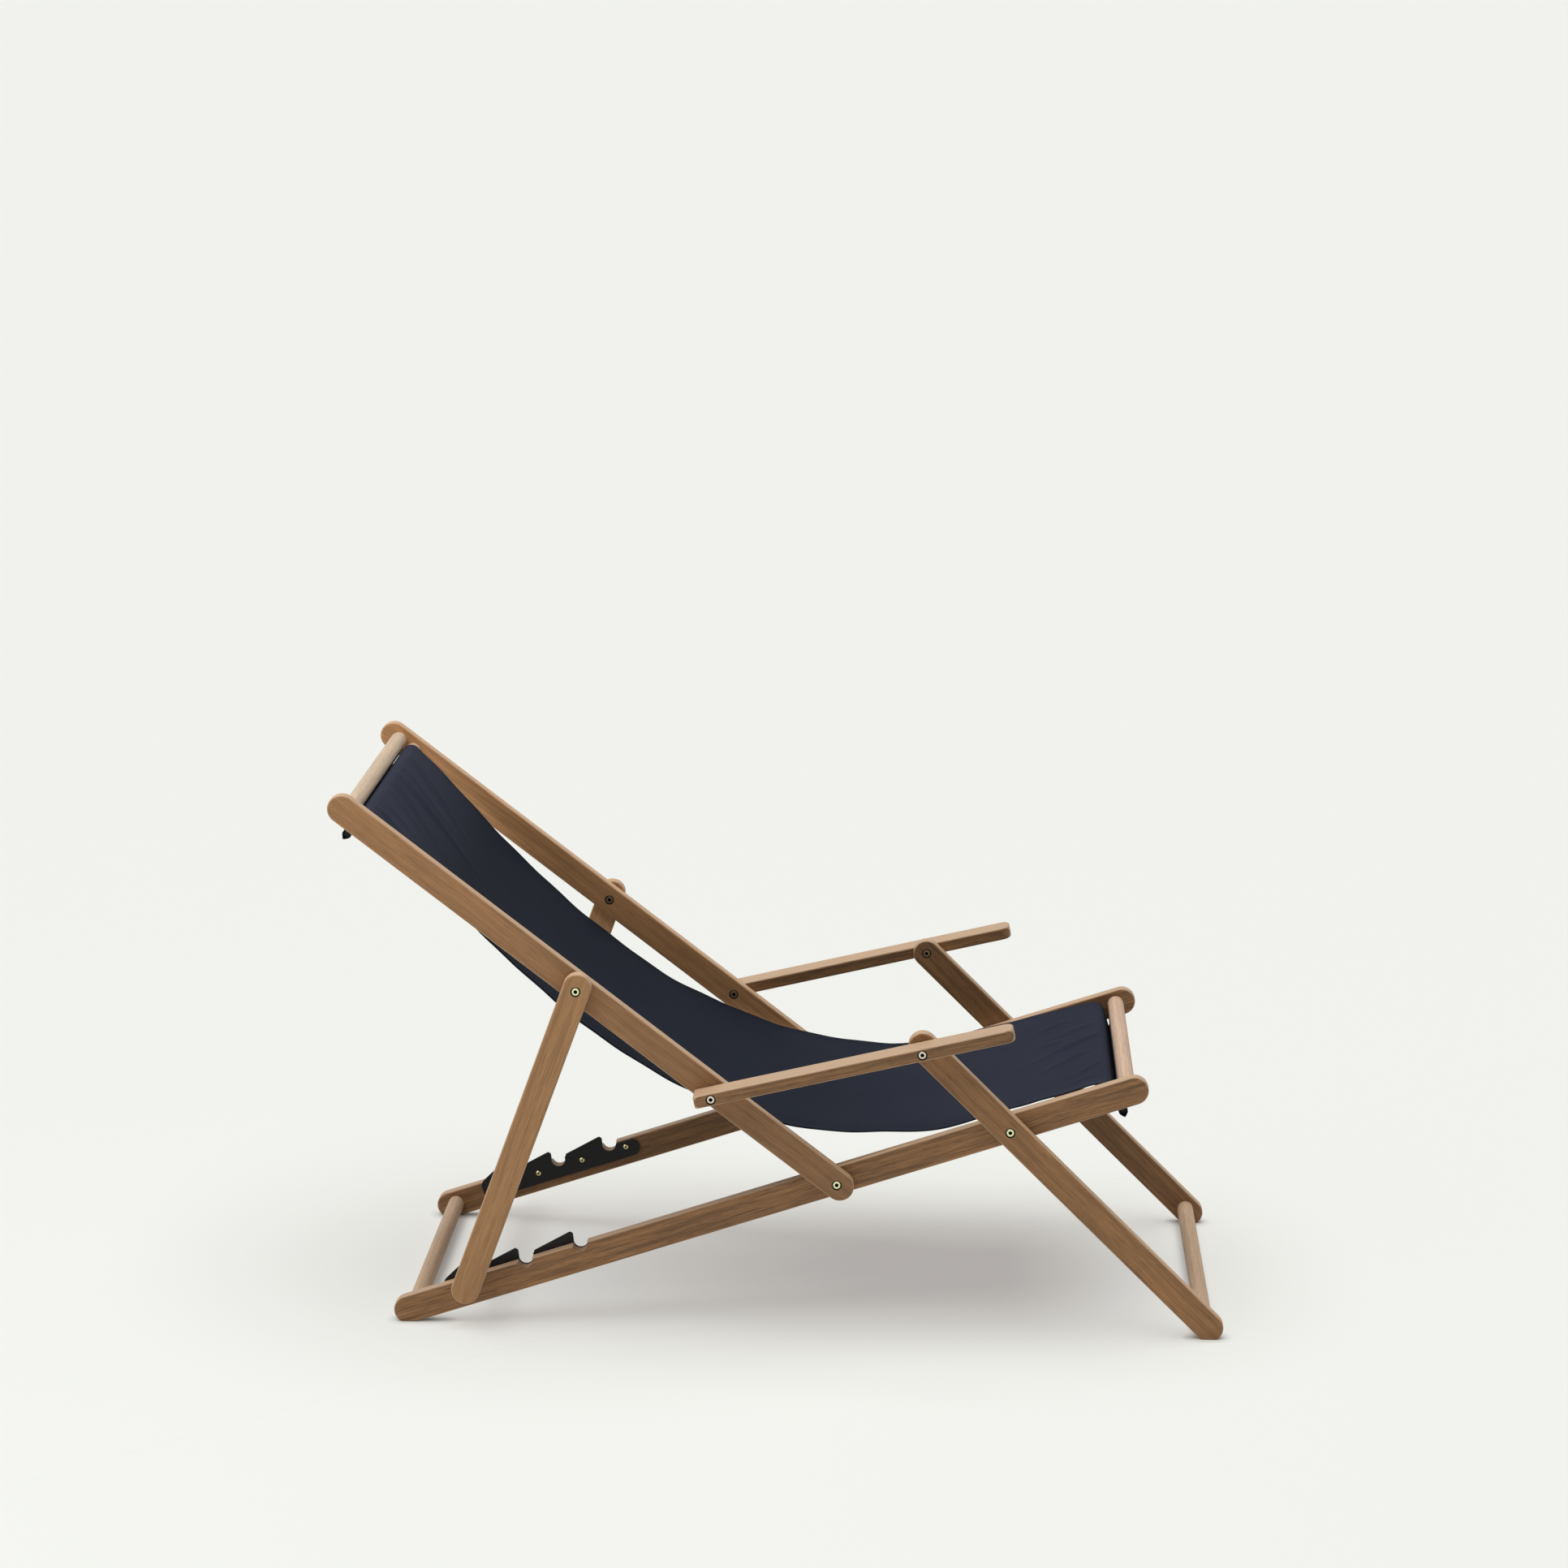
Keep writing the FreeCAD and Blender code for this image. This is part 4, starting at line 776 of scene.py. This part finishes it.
# %% Cloth mesh
def smooth_step(value, low, high):
    """0 below low, 1 above high, and an S-curve between them."""
    share = np.clip((value - low) / (high - low), 0.0, 1.0)
    return share * share * (3 - 2 * share)


def bell(value, middle, spread):
    """1 at the middle, falling off on both sides as a bell curve."""
    return np.exp(-(((value - middle) / spread) ** 2))


HEM_WIDTH, HEM_STEP, HEM_EXTRA = 13 * MM, 2 * MM, 0.7 * MM
SEAM_IN, GROOVE_DEPTH, GROOVE_SPREAD = 10.5 * MM, 0.35 * MM, 1.5 * MM
GRIP = 30 * MM
to_edge = np.minimum(ACROSS, CLOTH_WIDTH - ACROSS)
near_half = ACROSS < CLOTH_WIDTH / 2
off_head = smooth_step(ALONG, head_leave, head_leave + GRIP)
free = off_head * (1 - smooth_step(ALONG, seat_arrive - GRIP, seat_arrive))

SLACK_WAVES = [(0.225, 0.07, -4.0), (0.51, 0.07, -1.2), (0.79, 0.13, 3.6), (0.965, 0.045, -4.2)]
for place, spread, rise in SLACK_WAVES:
    height += rise * MM * bell(HUNG, place, spread)

RIDE_UP, RIDE_BAND = 6.5 * MM, 32 * MM
RIDE_FROM, RIDE_FULL, RIDE_TO, RIDE_OVER = -145 * MM, -25 * MM, -2 * MM, 18 * MM
EDGE_WAVES = [(1.10, 0.015, 1.0), (1.14, 0.018, -1.4), (1.175, 0.012, 1.0)]
past_bar = ALONG - seat_arrive
riding = smooth_step(past_bar, RIDE_FROM, RIDE_FULL) * (1 - smooth_step(past_bar, RIDE_TO, RIDE_OVER))
near_edge = np.where(near_half, bell(to_edge, 0.0, RIDE_BAND), 0.0)
height += RIDE_UP * riding * near_edge
for place, spread, rise in EDGE_WAVES:
    height += rise * MM * bell(HUNG, place, spread) * near_edge

RIPPLE, RIPPLE_BAND = 0.8 * MM, 45 * MM
phase = np.where(near_half, 0.0, 2.1)
ripple = np.sin(ALONG * 34.0 + phase) + 0.6 * np.sin(ALONG * 71.0 + 1.3 * phase + 0.8)
height += free * RIPPLE * ripple * bell(to_edge, 0.0, RIPPLE_BAND)
height -= free * GROOVE_DEPTH * bell(to_edge, SEAM_IN, GROOVE_SPREAD)
doubled = free * (1 - smooth_step(to_edge, HEM_WIDTH - HEM_STEP, HEM_WIDTH)) * HEM_EXTRA

angle = np.radians(np.interp(rows, knots, turned))
normal = np.stack((-np.sin(angle), np.zeros_like(angle), np.cos(angle)), axis=1)[:, None, :]
centre = np.stack(
    (
        np.broadcast_to(np.interp(rows, fine, line[:, 0])[:, None], ACROSS.shape),
        (ACROSS / CLOTH_WIDTH - 0.5) * 2 * half_width[:, None],
        np.broadcast_to(np.interp(rows, fine, line[:, 1])[:, None], ACROSS.shape),
    ),
    axis=2,
)
upper = centre + normal * (height + CLOTH_THICK / 2 + doubled)[..., None]
lower = centre + normal * (height - CLOTH_THICK / 2)[..., None]


def closed_sheet(name, upper, lower, flat):
    """Join an upper and a lower grid of points by a rim, and keep the flat cloth's metres as UV."""
    count = upper.shape[0] * upper.shape[1]
    index = np.arange(count).reshape(upper.shape[:2])
    top = np.stack((index[:-1, :-1], index[1:, :-1], index[1:, 1:], index[:-1, 1:]), axis=-1).reshape(-1, 4)
    border = np.concatenate((index[0, :-1], index[:-1, -1], index[-1, :0:-1], index[:0:-1, 0]))
    after = np.roll(border, -1)
    rim = np.stack((border, after, after + count, border + count), axis=-1)
    faces = np.concatenate((top, top[:, ::-1] + count, rim))
    mesh = bpy.data.meshes.new(name)
    mesh.from_pydata(np.concatenate((upper, lower)).reshape(-1, 3).tolist(), [], faces.tolist())
    corners = np.empty(len(mesh.loops), np.int32)
    mesh.loops.foreach_get("vertex_index", corners)
    layer = mesh.uv_layers.new(name="flat_cloth")
    layer.data.foreach_set("uv", flat.reshape(-1, 2)[corners % count].astype(np.float32).ravel())
    mesh.polygons.foreach_set("use_smooth", np.ones(len(faces), bool))
    mesh.update()
    piece = bpy.data.objects.new(name, mesh)
    scene.collection.objects.link(piece)
    return piece


cloth = closed_sheet("woven_sling", upper, lower, np.stack((ACROSS, ALONG), axis=-1))
print("sling faces", len(cloth.data.polygons))

# %% [markdown]
# ## Canvas
# The sling is a dark blue-black plain weave: threads pass over and under each other in turn. The
# pattern is worked out from the flat cloth's own metres, kept as UV, so it follows every bend.
# Seams are rows of short stitches in the same thread. Towards both bars the cloth is painted paler:
# painted light and sheen, where the stretched cloth faces the light.

# %% Weave and stitch groups
THREAD = 0.9 * MM
STITCH_PITCH = 3.4 * MM
weave, taken, given = new_group(
    "plain_weave", [("Flat", "Vector"), ("Pitch", "Float")], [("Height", "Float")]
)
flat_parts = add_node(weave, "ShaderNodeSeparateXYZ", {0: taken.outputs["Flat"]}).outputs
waves = []
for part in flat_parts[:2]:
    phase = calc(weave, "MULTIPLY", calc(weave, "DIVIDE", part, taken.outputs["Pitch"]), math.pi)
    waves.append(calc(weave, "SINE", phase))
over = calc(weave, "GREATER_THAN", calc(weave, "MULTIPLY", waves[0], waves[1]), 0.0)
warp_top = calc(weave, "ABSOLUTE", waves[0])
weft_top = calc(weave, "ABSOLUTE", waves[1])
pick = calc(weave, "SUBTRACT", warp_top, weft_top)
weave.links.new(calc(weave, "MULTIPLY_ADD", pick, over, weft_top), given.inputs["Height"])

stitch, taken, given = new_group(
    "stitch_row", [("Off seam", "Float"), ("Along", "Float")], [("Thread", "Float")]
)
beat = calc(stitch, "FRACT", calc(stitch, "DIVIDE", taken.outputs["Along"], STITCH_PITCH))
dash = calc(stitch, "MULTIPLY", fade(stitch, beat, 0.06, 0.16), fade(stitch, beat, 0.72, 0.82, 1.0, 0.0))
width = fade(stitch, calc(stitch, "ABSOLUTE", taken.outputs["Off seam"]), 0.00025, 0.0006, 1.0, 0.0)
stitch.links.new(calc(stitch, "MULTIPLY", dash, width), given.inputs["Thread"])
print("weave pitch %.1f mm" % (THREAD / MM))

# %% Canvas material
sheen = {"Sheen Weight": 0.012, "Sheen Roughness": 0.5, "Sheen Tint": linear(150, 160, 190)}
tree, shader, canvas = new_finish("dark_canvas", **{"Specular IOR Level": 0.06, **sheen})
flat = add_node(tree, "ShaderNodeUVMap", uv_map="flat_cloth").outputs[0]
cloth_weave = add_node(tree, "ShaderNodeGroup", {"Flat": flat, "Pitch": THREAD}, node_tree=weave)
flat_parts = add_node(tree, "ShaderNodeSeparateXYZ", {0: flat}).outputs


def seam(off_seam, along):
    """One row of stitches: off_seam is the distance from it, along the distance down it."""
    made = add_node(tree, "ShaderNodeGroup", {"Off seam": off_seam, "Along": along}, node_tree=stitch)
    return made.outputs["Thread"]


from_middle = calc(tree, "ABSOLUTE", calc(tree, "SUBTRACT", flat_parts[0], CLOTH_WIDTH / 2))
threads = seam(calc(tree, "SUBTRACT", from_middle, CLOTH_WIDTH / 2 - SEAM_IN), flat_parts[1])
FLAP_SEAM, STRIP_SEAM = 5 * MM, 9 * MM
strip_ends = knots[HEM_MOVES] - STRIP_SEAM, knots[-HEM_MOVES - 1] + STRIP_SEAM
for place in (FLAP_SEAM, *strip_ends, CLOTH_LENGTH - FLAP_SEAM):
    row = seam(calc(tree, "SUBTRACT", flat_parts[1], place), flat_parts[0])
    threads = calc(tree, "MAXIMUM", threads, row)

slub_place = add_node(
    tree, "ShaderNodeVectorMath", {0: flat, 1: (900.0, 28.0, 1.0)}, operation="MULTIPLY"
).outputs[0]
slub = add_node(tree, "ShaderNodeTexNoise", {"Vector": slub_place, "Scale": 1.0, "Detail": 2.0}).outputs[0]
faded = add_node(tree, "ShaderNodeTexNoise", {"Vector": flat, "Scale": 7.0, "Detail": 4.0}).outputs[0]
tone = calc(tree, "MULTIPLY_ADD", slub, 0.5, calc(tree, "MULTIPLY", cloth_weave.outputs["Height"], 0.35))
tone = calc(tree, "MULTIPLY_ADD", faded, 0.5, tone)
tone = add_node(tree, "ShaderNodeMapRange", {0: tone, 1: 0.25, 2: 1.05}).outputs[0]
# Painted light: the colour is paler towards both bars, standing in for light and sheen on the stretched
# cloth.
head_fade = fade(tree, flat_parts[1], head_leave, head_leave + 0.19)
seat_fade = fade(tree, flat_parts[1], seat_arrive - 0.48, seat_arrive - 0.10, 1.0, 0.50)
unpainted_light = calc(tree, "MULTIPLY", head_fade, seat_fade)
plain_canvas = mix_colours(tree, tone, linear(17, 20, 30), linear(29, 34, 45))
painted_light = mix_colours(tree, tone, linear(38, 41, 53), linear(55, 58, 72))
colour = mix_colours(tree, unpainted_light, painted_light, plain_canvas)
colour = mix_colours(tree, threads, colour, linear(50, 53, 63))
tree.links.new(colour, shader.inputs["Base Color"])
tree.links.new(calc(tree, "MULTIPLY_ADD", slub, 0.2, 0.75), shader.inputs["Roughness"])
cloth_height = calc(tree, "MULTIPLY_ADD", threads, 1.2, cloth_weave.outputs["Height"])
raise_surface(tree, shader, cloth_height, 0.35, 0.00018)
cloth.data.materials.append(canvas)
print("canvas with", len(tree.nodes), "nodes")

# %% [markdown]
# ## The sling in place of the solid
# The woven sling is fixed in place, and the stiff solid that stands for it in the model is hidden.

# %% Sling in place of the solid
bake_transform(cloth)
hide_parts("sling")
